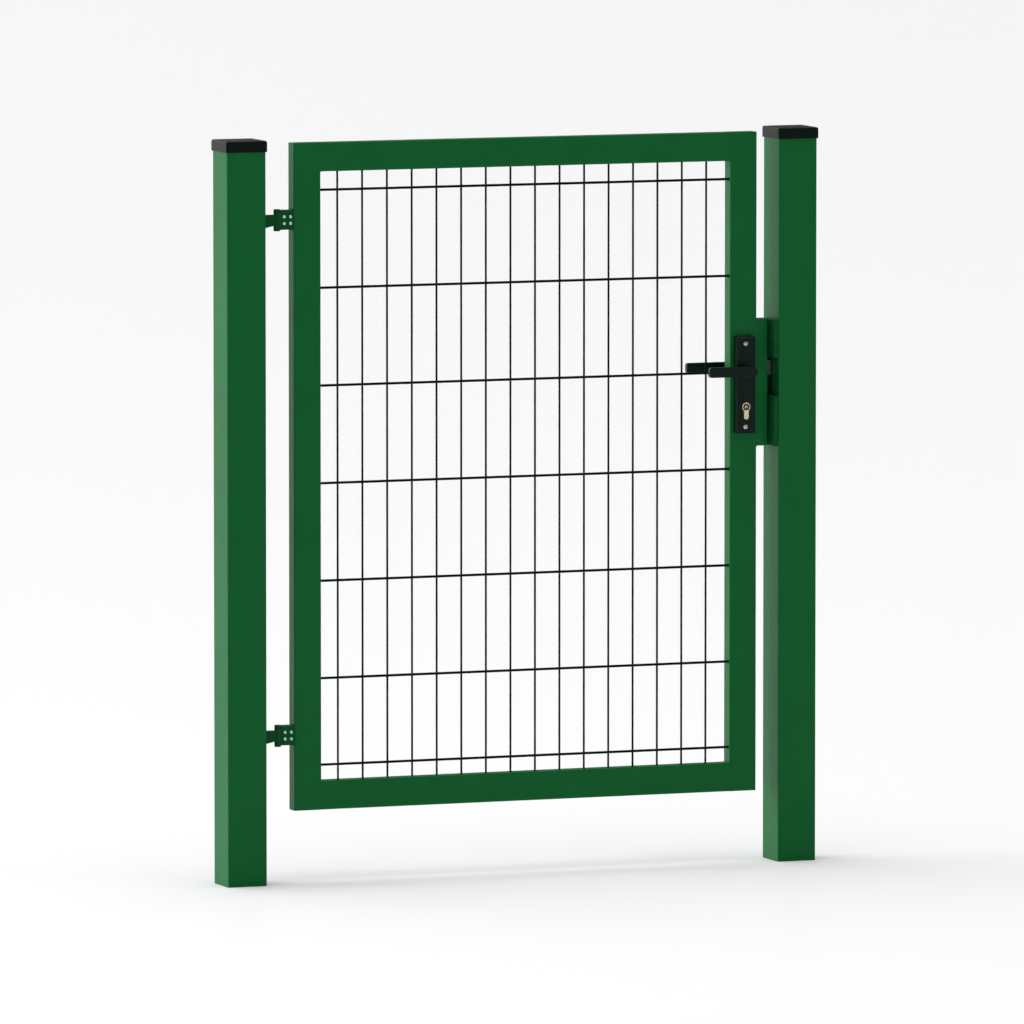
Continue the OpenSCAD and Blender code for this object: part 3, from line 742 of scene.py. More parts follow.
@dataclass(frozen=True)
class Weld:
    """A weld bead.

    Args:
        radius: Radius of the bead.
        ripple: Distance from one ripple to the next.
        rise: How much wider each ripple ends than it starts, as a share.
        seed: Seed for its unevenness.
    """

    radius: float
    ripple: float
    rise: float
    seed: int

    def run(self, kit: Kit, name: str, paths: Iterable[Sequence[Vector]], finish: Finish,
            node: str) -> None:
        """Lays the bead along some paths.

        Args:
            kit: The shared recipes.
            name: Name of the piece that the beads make.
            paths: The points of each path in turn.
            finish: Its finish.
            node: A node of the body that it moves with.
        """
        kit.beads.run(name, lines_mesh(paths), finish, body_of(node), {
            "Radius": self.radius, "Ripple": self.ripple, "Rise": self.rise, "Seed": self.seed,
        })


def across(x: float, z: float, reach: float) -> tuple[Vector, Vector]:
    """Gives a line through the leaf from front to rear, as far as a reach to both sides."""
    return Vector((x, -reach, z)), Vector((x, reach, z))


def skinned(shape: Shape, rings: Sequence[Sequence[bmesh.types.BMVert]]) -> Shape:
    """Joins rings of points into one closed skin.

    Args:
        shape: The shape that holds the points.
        rings: As many points in each ring.

    Returns:
        The same shape.
    """
    count = len(rings[0])
    for low, high in zip(rings, rings[1:]):
        for i in range(count):
            j = (i + 1) % count
            shape.faces.new((low[i], low[j], high[j], high[i]))
    for end in (reversed(rings[0]), rings[-1]):
        shape.faces.new(end)
    bmesh.ops.recalc_face_normals(shape, faces=shape.faces)
    return shape


def lathe(profile: Sequence[Pair], sides: int,
          lobes: Callable[[float], float] | None = None) -> Shape:
    """Turns a profile about Z into a closed shape.

    Args:
        profile: Radius and height of each ring, from the low pole to the high one.
        sides: Number of facets around.
        lobes: Scales the radius of the rings marked by a negative radius, by angle.

    Returns:
        The shape, closed at both ends.
    """
    shape = bmesh.new()
    rings = []
    for radius, height in profile:
        ring = []
        for i in range(sides):
            angle = math.tau * i / sides
            reach = -radius * lobes(angle) if radius < 0 and lobes else radius
            ring.append(shape.verts.new((reach * math.cos(angle), reach * math.sin(angle),
                                         height)))
        rings.append(ring)
    return skinned(shape, rings)


def hexagon(angle: float) -> float:
    """Gives the reach of a hexagon with flats one away from its middle, at an angle."""
    sector = math.pi / 3
    return 1 / math.cos((angle + sector / 2) % sector - sector / 2)


def template(name: str, shape: Shape, toward: Vector) -> Piece:
    """Makes a template for copies, with its Z axis turned toward a direction.

    Args:
        name: Name of the template.
        shape: Its shape, which is freed.
        toward: Where its Z axis ends up.

    Returns:
        The template's object, to be removed when the copies are made.
    """
    turn = Axis.Z.vector().rotation_difference(toward)
    bmesh.ops.transform(shape, matrix=turn.to_matrix().to_4x4(), verts=shape.verts)
    return linked(name, mesh_of(name, shape))


@dataclass(frozen=True)
class SocketScrew:
    """A screw with a hexagon socket, standing on its shank along Z with its head's top at zero.

    Args:
        head: Radius of the head.
        tall: Height of the head.
        crown: How far the head's top is domed.
        shank: Radius of the shank.
        length: Length of the shank.
        across: Width of the socket across its flats.
        deep: Depth of the socket.
        soften: Size of the bevels.
        sides: Number of facets around.
        arcs: Number of facets along the dome.
    """

    head: float
    tall: float
    crown: float
    shank: float
    length: float
    across: float
    deep: float
    soften: float = 0.25 * MM
    sides: int = 24
    arcs: int = 5

    LIP_SHARE: ClassVar[float] = 1.18
    CROWN_LIMIT: ClassVar[float] = 0.6
    RIM_SHARE: ClassVar[float] = 0.6
    DRILL_POINT: ClassVar[Pair] = (0.2, 1.1)

    def shape(self) -> Shape:
        """Turns the screw from its profile."""
        flat = self.across / 2
        lip = flat * self.LIP_SHARE
        side = -min(self.crown, self.tall * self.CROWN_LIMIT)
        dome = []
        for i in range(1, self.arcs + 1):
            share = i / self.arcs
            radius = self.head + (lip - self.head) * share
            dome.append((radius, side * (1 - math.sin(share * math.pi / 2))))
        tip = -self.tall - self.length
        point, drilled = self.DRILL_POINT
        profile = [
            (self.shank - self.soften, tip), (self.shank, tip + self.soften),
            (self.shank, -self.tall), (self.head - self.soften, -self.tall),
            (self.head, -self.tall + self.soften), (self.head, side),
            *dome,
            (-flat, -self.soften * self.RIM_SHARE), (-flat, -self.deep),
            (flat * point, -self.deep * drilled),
        ]
        return lathe(profile, self.sides, hexagon)

    def place(self, kit: Kit, node: str, finish: Finish, toward: Vector,
              seed: int) -> Piece:
        """Puts a copy of the screw at every screw of a node.

        Args:
            kit: The shared recipes.
            node: The node that the screws stand for.
            finish: Their finish.
            toward: The direction that their heads face.
            seed: Seed for the turn of each socket.

        Returns:
            The piece with all of the node's screws.
        """
        model = template("screw", self.shape(), toward)
        tops = []
        for box in solids(node):
            reach = box.size / 2
            tops.append(box.middle + Vector(reach[i] * toward[i] for i in range(3)))
        piece = kit.copies.run(f"{node}_turned", points_mesh(tops), finish, body_of(node), {
            "Template": model, "Seed": seed, "Turn": tuple(v * math.pi for v in toward),
            "Spread": 0.0,
        })
        bpy.data.objects.remove(model)
        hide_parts(node)
        return piece


# ---- Sub-assemblies ----


class Assembly(ABC):
    """A part of the gate that is built in one go."""

    @abstractmethod
    def build(self, kit: Kit) -> None:
        """Builds it, with the shared recipes where it has repeats or welds."""


@dataclass(frozen=True)
class Posts(Assembly):
    """The two square posts and the moulded caps on them.

    Args:
        cap_edge: Radius along the edges of a cap.
    """

    cap_edge: float = 0.9 * MM

    def build(self, kit: Kit) -> None:
        """Coats the posts and puts on the caps."""
        for node in ("hinge_post", "latch_post"):
            dress(node, GREEN)
        for node in ("hinge_post_cap", "latch_post_cap"):
            rounded(node, CAP_BLACK, self.cap_edge)


@dataclass(frozen=True)
class LeafFrame(Assembly):
    """The welded frame of the leaf.

    Args:
        corner: Corner radius of the frame's tube.
        bead: The weld inside the corners.
        clear: How far the ground welds stay inside the ends of the rails.
    """

    corner: float = 2 * MM
    bead: Weld = Weld(radius=1.2 * MM, ripple=1.6 * MM, rise=0.22, seed=3)
    clear: float = 0.1 * MM

    def build(self, kit: Kit) -> None:
        """Coats the tubes and adds their welds."""
        for node in ("hinge_stile", "lock_stile", "top_rail", "bottom_rail", "stile_end_plates"):
            dress(node, GREEN)
        self.ground_welds()
        self.inner_beads(kit)

    def ground_welds(self) -> None:
        """Fills the grooves where tubes and the lock box meet, flush with their faces."""
        shape = bmesh.new()
        for node in ("top_rail", "bottom_rail"):
            rail = span(node)
            for start in (rail.low.x - self.corner, rail.high.x):
                self.fill(shape, start, rail)
        box = span("lock_box")
        self.fill(shape, box.low.x - self.corner, box)
        add_piece("ground_welds", shape, GREEN, body_of("top_rail"))

    def fill(self, shape: Shape, start: float, beside: Span) -> None:
        """Adds a strip at the front and at the rear, as tall as the piece beside it.

        Args:
            shape: The shape that gets the strips.
            start: The strips' lowest X.
            beside: The box of the piece whose end is filled.
        """
        reach = beside.size.z / 2 - self.clear
        for outer, inner in ((beside.low.y, 1), (beside.high.y, -1)):
            middle = Vector((start + self.corner / 2, outer + inner * self.corner / 2,
                             beside.middle.z))
            sizes = Matrix.Diagonal((self.corner, self.corner, 2 * reach, 1))
            bmesh.ops.create_cube(shape, size=1, matrix=Matrix.Translation(middle) @ sizes)

    def inner_beads(self, kit: Kit) -> None:
        """Runs a bead along each inside corner of the frame."""
        top, bottom = span("top_rail"), span("bottom_rail")
        depth = top.size.y / 2 - self.corner
        paths = [across(x, z, depth)
                 for x in (top.low.x, top.high.x) for z in (top.low.z, bottom.high.z)]
        self.bead.run(kit, "corner_beads", paths, GREEN, "top_rail")


@dataclass(frozen=True)
class WireMesh(Assembly):
    """The welded mesh of upright and level wires in the frame.

    Args:
        sides: Number of facets around a wire.
        nugget: Radius of the weld at each crossing.
        pressed: How much that weld is stretched along each axis.
        tilt: The most that it is turned about each axis, in radians.
        spread: The most that it is smaller than the largest one, as a share.
        collar: How far the weld at a wire's end stands out from the wire.
        climb: How far that weld runs up the wire.
        flare: Its outline, as shares of the collar and of the climb.
        end_spread: The most that it is smaller than the largest one, as a share.
    """

    sides: int = 16
    nugget: float = 2.7 * MM
    pressed: Triple = (1.0, 0.55, 1.15)
    tilt: Triple = (0.15, 0.4, 0.15)
    spread: float = 0.16
    collar: float = 1.5 * MM
    climb: float = 2.2 * MM
    flare: tuple[Pair, ...] = ((1.0, 0.0), (0.62, 0.18), (0.25, 0.5), (0.04, 1.0))
    end_spread: float = 0.1

    CROSSING_SEED: ClassVar[int] = 11
    END_SEED: ClassVar[int] = 5

    def build(self, kit: Kit) -> None:
        """Builds both sets of wires and all of their welds."""
        uprights, levels = solids("upright_wires"), solids("level_wires")
        self.wires(kit, "upright_wires", uprights, Axis.Z)
        self.wires(kit, "level_wires", levels, Axis.X)
        self.crossings(kit, uprights, levels)
        self.ends(kit, "upright", uprights, Axis.Z)
        self.ends(kit, "level", levels, Axis.X)

    def wires(self, kit: Kit, node: str, wires: list[Span], along: Axis) -> None:
        """Stands round wires in for one node.

        Args:
            kit: The shared recipes.
            node: The node that they stand for.
            wires: The box of each wire.
            along: The direction in which they run.
        """
        run = along.vector(wires[0].size[along.value])
        starts = [wire.end(along, at_high=False) for wire in wires]
        piece = kit.rods.run(f"{node}_coated", points_mesh(starts), WIRE_GREEN, body_of(node), {
            "Run": tuple(run), "Radius": wires[0].size.y / 2, "Sides": self.sides,
        })
        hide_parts(node)

    def crossings(self, kit: Kit, uprights: list[Span], levels: list[Span]) -> None:
        """Puts a spot weld where each upright wire crosses a level one."""
        y = (uprights[0].low.y + levels[0].high.y) / 2
        spots = [Vector((upright.middle.x, y, level.middle.z))
                 for upright in uprights for level in levels]
        shape = bmesh.new()
        stretch = Matrix.Diagonal((*self.pressed, 1.0))
        bmesh.ops.create_icosphere(shape, subdivisions=2, radius=self.nugget, matrix=stretch)
        model = template("nugget", shape, Axis.Z.vector())
        kit.copies.run("crossing_welds", points_mesh(spots), WIRE_GREEN, body_of("level_wires"), {
            "Template": model, "Seed": self.CROSSING_SEED, "Turn": self.tilt,
            "Spread": self.spread,
        })
        bpy.data.objects.remove(model)

    def ends(self, kit: Kit, name: str, wires: list[Span], along: Axis) -> None:
        """Puts a small collar of weld where each end of a wire meets the frame.

        Args:
            kit: The shared recipes.
            name: What the wires are called.
            wires: The box of each wire.
            along: The direction in which they run.
        """
        radius = wires[0].size.y / 2
        profile = [(radius + self.collar * out, self.climb * up) for out, up in self.flare]
        for end, sign in (("low", 1), ("high", -1)):
            toward = along.vector(sign)
            places = [wire.end(along, at_high=sign < 0) for wire in wires]
            model = template("collar", lathe(profile, self.sides), toward)
            kit.copies.run(f"{name}_{end}_end_welds", points_mesh(places), WIRE_GREEN,
                           body_of("level_wires"), {
                "Template": model, "Seed": self.END_SEED,
                "Turn": tuple(v * math.pi for v in toward), "Spread": self.end_spread,
            })
            bpy.data.objects.remove(model)


@dataclass(frozen=True)
class Hinges(Assembly):
    """The two hinges: welded arms on the post, screwed plates on the leaf.

    Args:
        edge: Radius along the edges of the arms and plates.
        block_edge: Radius along the edges of the welded blocks.
        pin_rim: Radius around the ends of the pins.
        washer_rim: Radius around the washers.
        root: Half the width of an arm's root, front to back.
        bead: The weld round the roots of the arms and round the blocks.
    """

    edge: float = 0.8 * MM
    block_edge: float = 1.2 * MM
    pin_rim: float = 0.6 * MM
    washer_rim: float = 0.15 * MM
    root: float = 4 * MM
    bead: Weld = Weld(radius=1.6 * MM, ripple=1.3 * MM, rise=0.25, seed=7)

    def build(self, kit: Kit) -> None:
        """Builds the arms, plates, blocks, pins, washers, screws and welds."""
        for side in ("upper", "lower"):
            rounded(f"{side}_hinge_arm", HINGE_GREEN_AND_KEEP_SHADE, self.edge)
            rounded(f"{side}_hinge_plate", HINGE_GREEN_AND_KEEP_SHADE, self.edge)
        rounded("hinge_blocks", GREEN, self.block_edge)
        rounded("hinge_pins", HINGE_GREEN_AND_KEEP_SHADE, self.edge, rim=self.pin_rim)
        rounded("hinge_washers", BRONZE_AND_PLUG_SHADE, self.edge, rim=self.washer_rim, steps=2)
        screw = SocketScrew(head=3 * MM, tall=1.6 * MM, crown=0.9 * MM, shank=2 * MM,
                            length=17 * MM, across=2.5 * MM, deep=0.9 * MM)
        screw.place(kit, "hinge_screws", MINT, Axis.Y.vector(-1), seed=21)
        self.welds(kit)

    def welds(self, kit: Kit) -> None:
        """Runs a bead round each arm's root and round three sides of each block."""
        roots = []
        for side in ("upper", "lower"):
            arm = span(f"{side}_hinge_arm")
            plane, near, far = arm.low.x, arm.middle.y - self.root, arm.middle.y + self.root
            ring = [(near, arm.high.z), (far, arm.high.z), (far, arm.low.z), (near, arm.low.z),
                    (near, arm.high.z)]
            roots.append([Vector((plane, y, z)) for y, z in ring])
        self.bead.run(kit, "arm_beads", roots, HINGE_GREEN_AND_KEEP_SHADE, "upper_hinge_arm")
        seats = []
        for block in solids("hinge_blocks"):
            plane, front, rear = block.high.x, block.low.y + self.bead.radius, block.high.y
            loop = [(front, block.high.z), (rear, block.high.z), (rear, block.low.z),
                    (front, block.low.z)]
            seats.append([Vector((plane, y, z)) for y, z in loop])
        self.bead.run(kit, "block_beads", seats, GREEN, "hinge_blocks")


def slab(outline: Sequence[Pair], near: float, far: float,
         edge: float, steps: int = 4) -> Shape:
    """Makes a plate of an outline in X and Z, with rounded rims.

    Args:
        outline: The corners in turn, against the clock as seen from the front.
        near: The lowest Y.
        far: The highest Y.
        edge: Radius of both rims.
        steps: Number of facets across each rim.

    Returns:
        The closed shape.
    """
    count = len(outline)
    flat = [Vector(point) for point in outline]

    def inset(amount: float) -> list[Vector]:
        """Moves each point inwards along the mean of its two sides' normals."""
        moved = []
        for i, point in enumerate(flat):
            before, after = point - flat[i - 1], flat[(i + 1) % count] - point
            inward = Vector((-before.y, before.x)).normalized()
            inward += Vector((-after.y, after.x)).normalized()
            moved.append(point + inward.normalized() * amount)
        return moved

    turns = [math.pi / 2 * i / steps for i in range(steps + 1)]
    shape = bmesh.new()
    rings = []
    front = [(near + edge * (1 - math.cos(t)), edge * (1 - math.sin(t))) for t in turns]
    rear = [(far - edge * (1 - math.cos(t)), edge * (1 - math.sin(t))) for t in reversed(turns)]
    for y, amount in front + rear:
        rings.append([shape.verts.new((p.x, y, p.y)) for p in inset(amount)])
    return skinned(shape, rings)


@dataclass(frozen=True)
class LeverHandle:
    """A moulded lever handle: a flat bar with a rounded tip on a round neck.

    Args:
        node: The node that it stands for.
        thick: Thickness of the bar, front to back.
        tip: Corner radius of the tip.
        edge: Radius along the bar's edges.
        ease: How far the bar's sides stay inside the hub.
        waist: How far the neck is drawn in between the bar and the plate.
        collar: Height of the collar that the neck ends in.
        taper: The neck's outline from waist to collar, as shares of both.
        neck_ease: How far the collar stays inside the hub.
        sunk: How far the neck reaches into the plate.
        soft: Size of the bevel at the neck's end.
        sides: Number of facets around the neck.
        hub_arcs: Number of facets round the bar's hub end.
        tip_arcs: Number of facets round each corner of its tip.
    """

    node: str
    thick: float = 12 * MM
    tip: float = 5 * MM
    edge: float = 1.8 * MM
    ease: float = 0.5 * MM
    waist: float = 0.9 * MM
    collar: float = 2.5 * MM
    taper: tuple[Pair, ...] = ((1.0, 2.0), (0.4, 1.4), (0.0, 1.0))
    neck_ease: float = 0.3 * MM
    sunk: float = 0.5 * MM
    soft: float = 0.4 * MM
    sides: int = 48
    hub_arcs: int = 18
    tip_arcs: int = 6

    def outline(self, box: Span, hub: float) -> list[Pair]:
        """Draws the bar with its hub end, in X and Z.

        Args:
            box: The box of the node.
            hub: Radius of the hub.

        Returns:
            The corners, against the clock.
        """
        middle = Vector((box.high.x - hub, box.middle.z))
        half = hub - self.ease
        points = []
        first = math.asin(half / hub)
        for i in range(self.hub_arcs + 1):
            angle = -first + 2 * first * i / self.hub_arcs
            points.append((middle.x + hub * math.cos(angle), middle.y + hub * math.sin(angle)))
        for side in (1, -1):
            for i in range(self.tip_arcs + 1):
                angle = math.pi / 2 * (i / self.tip_arcs + (1 if side > 0 else 2))
                points.append((box.low.x + self.tip + self.tip * math.cos(angle),
                               middle.y + side * (half - self.tip) + self.tip * math.sin(angle)))
        return points

    def build(self) -> None:
        """Builds the handle and hides the node it stands for."""
        box = span(self.node)
        hub = box.size.z / 2
        front = box.middle.y < 0
        outer = box.low.y if front else box.high.y
        step = 1 if front else -1
        inner = outer + step * self.thick
        shape = slab(self.outline(box, hub), min(outer, inner), max(outer, inner), self.edge)
        plate = span("front_plate" if front else "rear_plate")
        seat = (plate.low.y if front else plate.high.y) - step * self.sunk
        long = abs(seat - inner) + self.edge
        radius = hub - self.neck_ease
        neck = lathe([
            (radius - self.waist, 0),
            *((radius - self.waist * waists, long - self.collar * collars)
              for waists, collars in self.taper),
            (radius, long - self.soft), (radius - self.soft, long),
        ], self.sides)
        turn = Axis.Z.vector().rotation_difference(Axis.Y.vector(step))
        place = Matrix.Translation((box.high.x - hub, inner - step * self.edge, box.middle.z))
        bmesh.ops.transform(neck, matrix=place @ turn.to_matrix().to_4x4(), verts=neck.verts)
        shape.from_mesh(mesh_of("neck", neck))
        piece = add_piece(f"{self.node}_moulded", shape, LEVER_BLACK, body_of(self.node),
                          flat_faces=True)
        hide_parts(self.node)


@dataclass(frozen=True)
class KeyPlug:
    """The turning plug of the profile cylinder: a dished ring round a bright boss with a keyway.

    Args:
        boss: Radius of the raised middle of its face.
        root: How far the boss reaches under the floor of the dish.
        dish: Depth of the ring round the boss.
        keyway: Width of the keyway.
        inset: How far the keyway's ends stay inside the boss.
        lip: Width of the rim outside the dished ring.
        soft: Radius along its edges.
        sides: Number of facets around it.
    """

    boss: float = 2.9 * MM
    root: float = 2.0 * MM
    dish: float = 2.6 * MM
    keyway: float = 1.4 * MM
    inset: float = 0.5 * MM
    lip: float = 0.5 * MM
    soft: float = 0.2 * MM
    sides: int = 48

    def build(self) -> None:
        """Builds both halves and hides the node they stand for."""
        rings, bosses = bmesh.new(), bmesh.new()
        for box in solids("cylinder_plug"):
            side = -1 if box.middle.y < 0 else 1
            self.ring(rings, box, side)
            self.middle(bosses, box, side)
        body = body_of("cylinder_plug")
        # The dished ring takes the dark bronze finish as painted shade for the hollow round the
        # boss.
        piece = add_piece("cylinder_plug_turned", rings, BRONZE_AND_PLUG_SHADE, body, flat_faces=True)
        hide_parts("cylinder_plug")
        add_piece("cylinder_plug_boss", bosses, NICKEL, body, flat_faces=True)

    def turned(self, profile: list[Pair], box: Span,
               side: int) -> Piece:
        """Turns a profile into a half's place.

        Args:
            profile: Radii, and distances from the half's inner end.
            box: The box of the CAD half.
            side: Minus one at the front, one at the rear.

        Returns:
            The turned part, not yet a piece.
        """
        part = template("plug", lathe(profile, self.sides), Axis.Y.vector(side))
        inner = box.high.y if side < 0 else box.low.y
        part.data.transform(Matrix.Translation((box.middle.x, inner, box.middle.z)))
        return part

    def ring(self, whole: Shape, box: Span, side: int) -> None:
        """Adds the body of one half, with its dished face.

        Args:
            whole: The shape that gets it.
            box: The box of the CAD half.
            side: Minus one at the front, one at the rear.
        """
        radius, long, soft = box.size.x / 2, box.size.y, self.soft
        part = self.turned([
            (radius, 0), (radius, long - soft), (radius - soft, long),
            (radius - self.lip, long), (radius - self.lip - soft, long - self.dish),
            (self.boss, long - self.dish),
        ], box, side)
        whole.from_mesh(part.data)
        bpy.data.objects.remove(part)

    def middle(self, whole: Shape, box: Span, side: int) -> None:
        """Adds the boss of one half and cuts its keyway.

        Args:
            whole: The shape that gets it.
            box: The box of the CAD half.
            side: Minus one at the front, one at the rear.
        """
        long, soft = box.size.y, self.soft
        part = self.turned([
            (self.boss, long - self.dish - self.root), (self.boss, long - soft),
            (self.boss - soft, long),
        ], box, side)
        slot = bmesh.new()
        outer = box.low.y if side < 0 else box.high.y
        sizes = Matrix.Diagonal((self.keyway, 2 * self.dish, 2 * (self.boss - self.inset), 1))
        place = Matrix.Translation((box.middle.x, outer, box.middle.z))
        bmesh.ops.create_cube(slot, size=1, matrix=place @ sizes)
        cutter = template("keyway", slot, Axis.Z.vector())
        cut = part.modifiers.new("Keyway", "BOOLEAN")
        cut.operation = "DIFFERENCE"
        cut.object = cutter
        cut.solver = "EXACT"
        applied(part)
        whole.from_mesh(part.data)
        for used in (part, cutter):
            bpy.data.objects.remove(used)


@dataclass(frozen=True)
class LockFurniture(Assembly):
    """What shows of the lock: its box, plates, handles, screws and cylinder.

    Args:
        box_edge: Radius along the edges of the lock box.
        plate_edge: Radius along the edges of the plates.
        cylinder_edge: Radius along the edges of the cylinder.
        sleeve_edge: Radius along the edges of the threaded sleeves.
        face_edge: Radius along the edges of the faceplate.
        bead: The weld between the lock box and the stile.
        bead_inset: How far that weld stays inside the box's front and rear.
    """

    box_edge: float = 0.8 * MM
    plate_edge: float = 0.7 * MM
    cylinder_edge: float = 0.5 * MM
    sleeve_edge: float = 0.3 * MM
    face_edge: float = 0.4 * MM
    bead: Weld = Weld(radius=1.8 * MM, ripple=1.5 * MM, rise=0.25, seed=13)
    bead_inset: float = 1.5 * MM

    def build(self, kit: Kit) -> None:
        """Builds the furniture from the box outwards."""
        box = span("lock_box")
        rounded("lock_box", GREEN, self.box_edge, crisp=lambda at: at.x < box.low.x + TINY)
        for plate in ("front_plate", "rear_plate"):
            rounded(plate, LEVER_BLACK, self.plate_edge)
        for lever in ("front_lever", "rear_lever"):
            LeverHandle(lever).build()
        rounded("cylinder_body", NICKEL, self.cylinder_edge)
        KeyPlug().build()
        tall = 2.7 * MM
        plate_screw = SocketScrew(head=5 * MM, tall=tall, crown=0.7 * MM, shank=2.5 * MM,
                                  length=solids("plate_screws")[0].size.y - tall,
                                  across=4 * MM, deep=3.6 * MM)
        plate_screw.place(kit, "plate_screws", STAINLESS, Axis.Y.vector(-1), seed=31)
        rounded("plate_sleeves", STAINLESS, self.sleeve_edge)
        rounded("faceplate", STAINLESS, self.face_edge)
        tall = 1.5 * MM
        for node in ("faceplate_screws", "cylinder_screw"):
            screw = SocketScrew(head=3.8 * MM, tall=tall, crown=0.2 * MM, shank=2.5 * MM,
                                length=solids(node)[0].size.x - tall, across=3 * MM,
                                deep=0.9 * MM)
            screw.place(kit, node, ZINC, Axis.X.vector(), seed=37)
        self.welds(kit)

    def welds(self, kit: Kit) -> None:
        """Runs a bead across the stile above and below the lock box."""
        box = span("lock_box")
        depth = box.size.y / 2 - self.bead_inset
        paths = [across(box.low.x, z, depth) for z in (box.low.z, box.high.z)]
        self.bead.run(kit, "lock_box_beads", paths, GREEN, "lock_box")


@dataclass(frozen=True)
class LockWorks(Assembly):
    """The moving parts inside the lock.

    Args:
        edge: Radius along the edges of the bolts.
        slack: How much further than the latch's travel the latch spring shortens; not used.
    """

    edge: float = 0.6 * MM
    slack: float = 0.2 * MM

    def build(self, kit: Kit) -> None:
        """Finishes the case, the bolts, the follower, the spindle and the springs."""
        for node in ("latch_bolt", "deadbolt"):
            rounded(node, SPRING, self.edge)
        for node in ("lock_cam", "follower", "spindle"):
            rounded(node, ZINC, self.edge / 2)
        for node in ("lock_case", "lever_screws"):
            dress(node, ZINC)
        dress("lever_spring", SPRING)
        self.squeezed_spring()

    def squeezed_spring(self) -> None:
        """Stands an unchanged copy of the latch spring in for its node."""
        box = span("latch_spring")
        coil = add_piece("latch_spring_wound", merged("latch_spring"), SPRING,
                         body_of("latch_spring"))
        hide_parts("latch_spring")
        box.end(Axis.X, at_high=False)
        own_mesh(coil)


@dataclass(frozen=True)
class Keep(Assembly):
    """The keep on the latch post, with its stop lip and buffers.

    Args:
        edge: Radius along the edges of the keep and the buffers.
    """

    edge: float = 0.6 * MM

    def build(self, kit: Kit) -> None:
        """Builds the keep, its screws and its buffers."""
        # The keep and its screws take the darker fitting paint. This is partly their own colour and
        # partly painted shade for the dark gap between the leaf and the latch post.
        rounded("keep", HINGE_GREEN_AND_KEEP_SHADE, self.edge)
        tall = 3.2 * MM
        screw = SocketScrew(head=5.5 * MM, tall=tall, crown=0.5 * MM, shank=3 * MM,
                            length=solids("keep_screws")[0].size.x - tall, across=4 * MM,
                            deep=2.2 * MM)
        screw.place(kit, "keep_screws", HINGE_GREEN_AND_KEEP_SHADE, Axis.X.vector(-1), seed=41)
        rounded("stop_buffers", RUBBER, self.edge, rim=self.edge)


# ---- Studio ----


@dataclass(frozen=True)
class Lamp:
    """A soft square light that faces a point.

    Args:
        name: Name of the light.
        place: Where it stands.
        aim: The point that it faces.
        side: Length of its side.
        power: Its power in watts.
    """

    name: str
    place: Triple
    aim: Triple
    side: float
    power: float

    def build(self) -> None:
        """Hangs the light, out of the camera's sight."""
        light = bpy.data.lights.new(self.name, "AREA")
        light.shape = "SQUARE"
        light.size = self.side
        light.energy = self.power
        lamp = linked(self.name, light)
        lamp.location = self.place
        facing = Vector(self.aim) - Vector(self.place)
        lamp.rotation_euler = facing.to_track_quat("-Z", "Y").to_euler()
        lamp.visible_camera = False


@dataclass(frozen=True)
class Glow:
    """A soft brightness of the surroundings toward one direction.

    Args:
        toward: The direction.
        low: Cosine of the angle from the direction at which the glow starts.
        strength: Its brightness in the middle.
    """

    toward: Triple
    low: float
    strength: float

    def shade(self, graph: Graph, place: Socket) -> Socket:
        """Gives the glow's brightness.

        Args:
            graph: The world's tree.
            place: The direction of each ray.

        Returns:
            The brightness that a ray meets.
        """
        facing = graph.add("ShaderNodeVectorMath", {0: place, 1: self.toward},
                           operation="DOT_PRODUCT").outputs["Value"]
        return graph.remap(facing, (self.low, 1.0), (0.0, self.strength),
                           interpolation_type="SMOOTHSTEP")


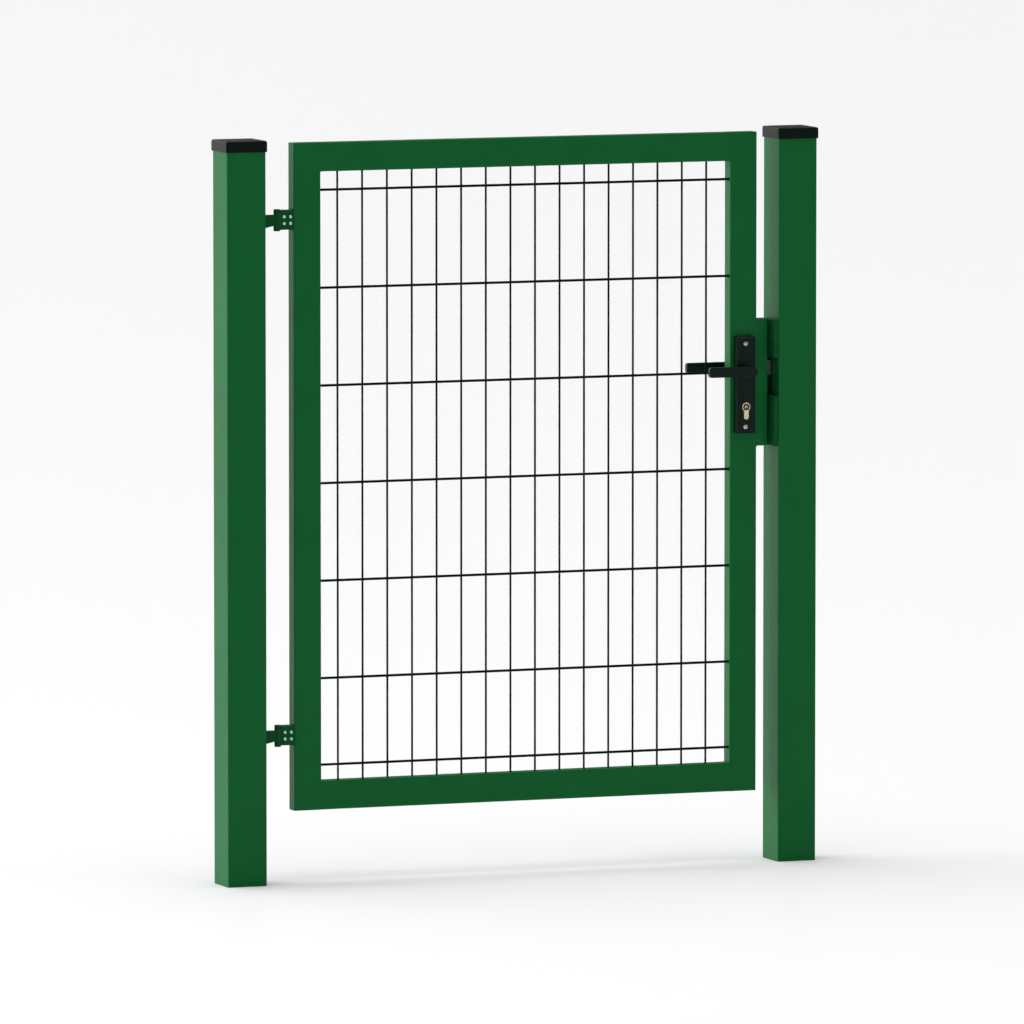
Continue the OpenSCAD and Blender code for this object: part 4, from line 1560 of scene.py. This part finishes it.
@dataclass(frozen=True)
class Studio:
    """The pale floor, the surrounding light, the lamp and the camera.

    Args:
        floor_half: Half the side of the floor.
        floor_tone: Brightness of the floor.
        lamp: The lamp beside the gate.
        glows: Where the surroundings are bright: left, back on the left, and above.
        base: Brightness of the surroundings everywhere else.
        sky: Brightness of the surroundings as the camera sees them.
        azimuth: Direction of the view in degrees; nought looks along Y.
        elevation: Height of the view in degrees.
        distance: From the camera to the point that it looks at.
        aim: The point that the camera looks at.
        lens: Focal length of the lens in millimetres, on a 36 millimetre sensor.
        far: How far the camera sees.
    """

    floor_half: float = 150.0
    floor_tone: float = 0.88
    lamp: Lamp = Lamp("key", (-9.0, 2.2, 1.2), (0.0, 0.0, 0.7), 4.0, 300.0)
    glows: tuple[Glow, ...] = (Glow((-1.0, 0.0, 0.0), 0.3, 0.7),
                               Glow((-0.65, 0.76, 0.0), 0.3, 1.5),
                               Glow((0.0, 0.0, 1.0), 0.62, 2.6))
    base: float = 0.02
    sky: float = 0.93
    azimuth: float = -21.274
    elevation: float = 5.357
    distance: float = 24.873
    aim: Triple = (-0.0106, 0.0, 0.7068)
    lens: float = 448.2
    far: float = 600.0

    def build(self) -> None:
        """Builds the studio."""
        self.floor()
        self.surroundings()
        self.lamp.build()
        self.camera()
        bpy.context.scene.view_settings.view_transform = "Standard"

    def floor(self) -> None:
        """Lays a pale floor with a faint gloss."""
        shape = bmesh.new()
        bmesh.ops.create_grid(shape, x_segments=1, y_segments=1, size=self.floor_half)
        floor = linked("floor", mesh_of("floor", shape))
        tone = (self.floor_tone,) * 3
        finish = Finish("floor", tone, tone, roughness=0.30, spread=0.01, patch=2.0,
                        relief=0.02, depth=0.0, specular=0.003)
        floor.data.materials.append(finish.material())

    def surroundings(self) -> None:
        """Lights the scene with the glows, and shows the camera a plain bright sky."""
        world = bpy.data.worlds.new("studio")
        world.use_nodes = True
        bpy.context.scene.world = world
        graph = Graph(world.node_tree)
        place = graph.add("ShaderNodeTexCoord").outputs["Generated"]
        glows = [glow.shade(graph, place) for glow in self.glows]
        total = reduce(lambda sum_so_far, part: graph.compute("ADD", sum_so_far, part),
                       (*glows, self.base))
        light = graph.add("ShaderNodeBackground", {
            "Color": (1, 1, 1, 1), "Strength": total,
        })
        backdrop = graph.add("ShaderNodeBackground", {
            "Color": (1, 1, 1, 1), "Strength": self.sky,
        })
        seen = graph.add("ShaderNodeLightPath").outputs["Is Camera Ray"]
        mix = graph.add("ShaderNodeMixShader", {
            0: seen, 1: light.outputs["Background"], 2: backdrop.outputs["Background"],
        })
        graph.add("ShaderNodeOutputWorld", {"Surface": mix.outputs["Shader"]})

    def camera(self) -> None:
        """Sets the camera on its orbit around the gate."""
        turn, lift = math.radians(self.azimuth), math.radians(self.elevation)
        back = Vector((math.sin(turn) * math.cos(lift), -math.cos(turn) * math.cos(lift),
                       math.sin(lift)))
        lens = bpy.data.cameras.new("camera")
        lens.lens = self.lens
        lens.clip_end = self.far
        camera = linked("camera", lens)
        camera.location = Vector(self.aim) + back * self.distance
        camera.rotation_euler = (-back).to_track_quat("-Z", "Y").to_euler()
        bpy.context.scene.camera = camera


def main() -> None:
    """Builds the gate and its studio."""
    logging.basicConfig(level=logging.INFO, format="%(name)s: %(message)s")
    Studio().build()
    kit = Kit(Rods(), Copies(), Beads())
    for assembly in (Posts(), LeafFrame(), WireMesh(), Hinges(), LockFurniture(), LockWorks(),
                     Keep()):
        LOG.info("building %s", type(assembly).__name__)
        assembly.build(kit)


if __name__ == "__main__":
    main()
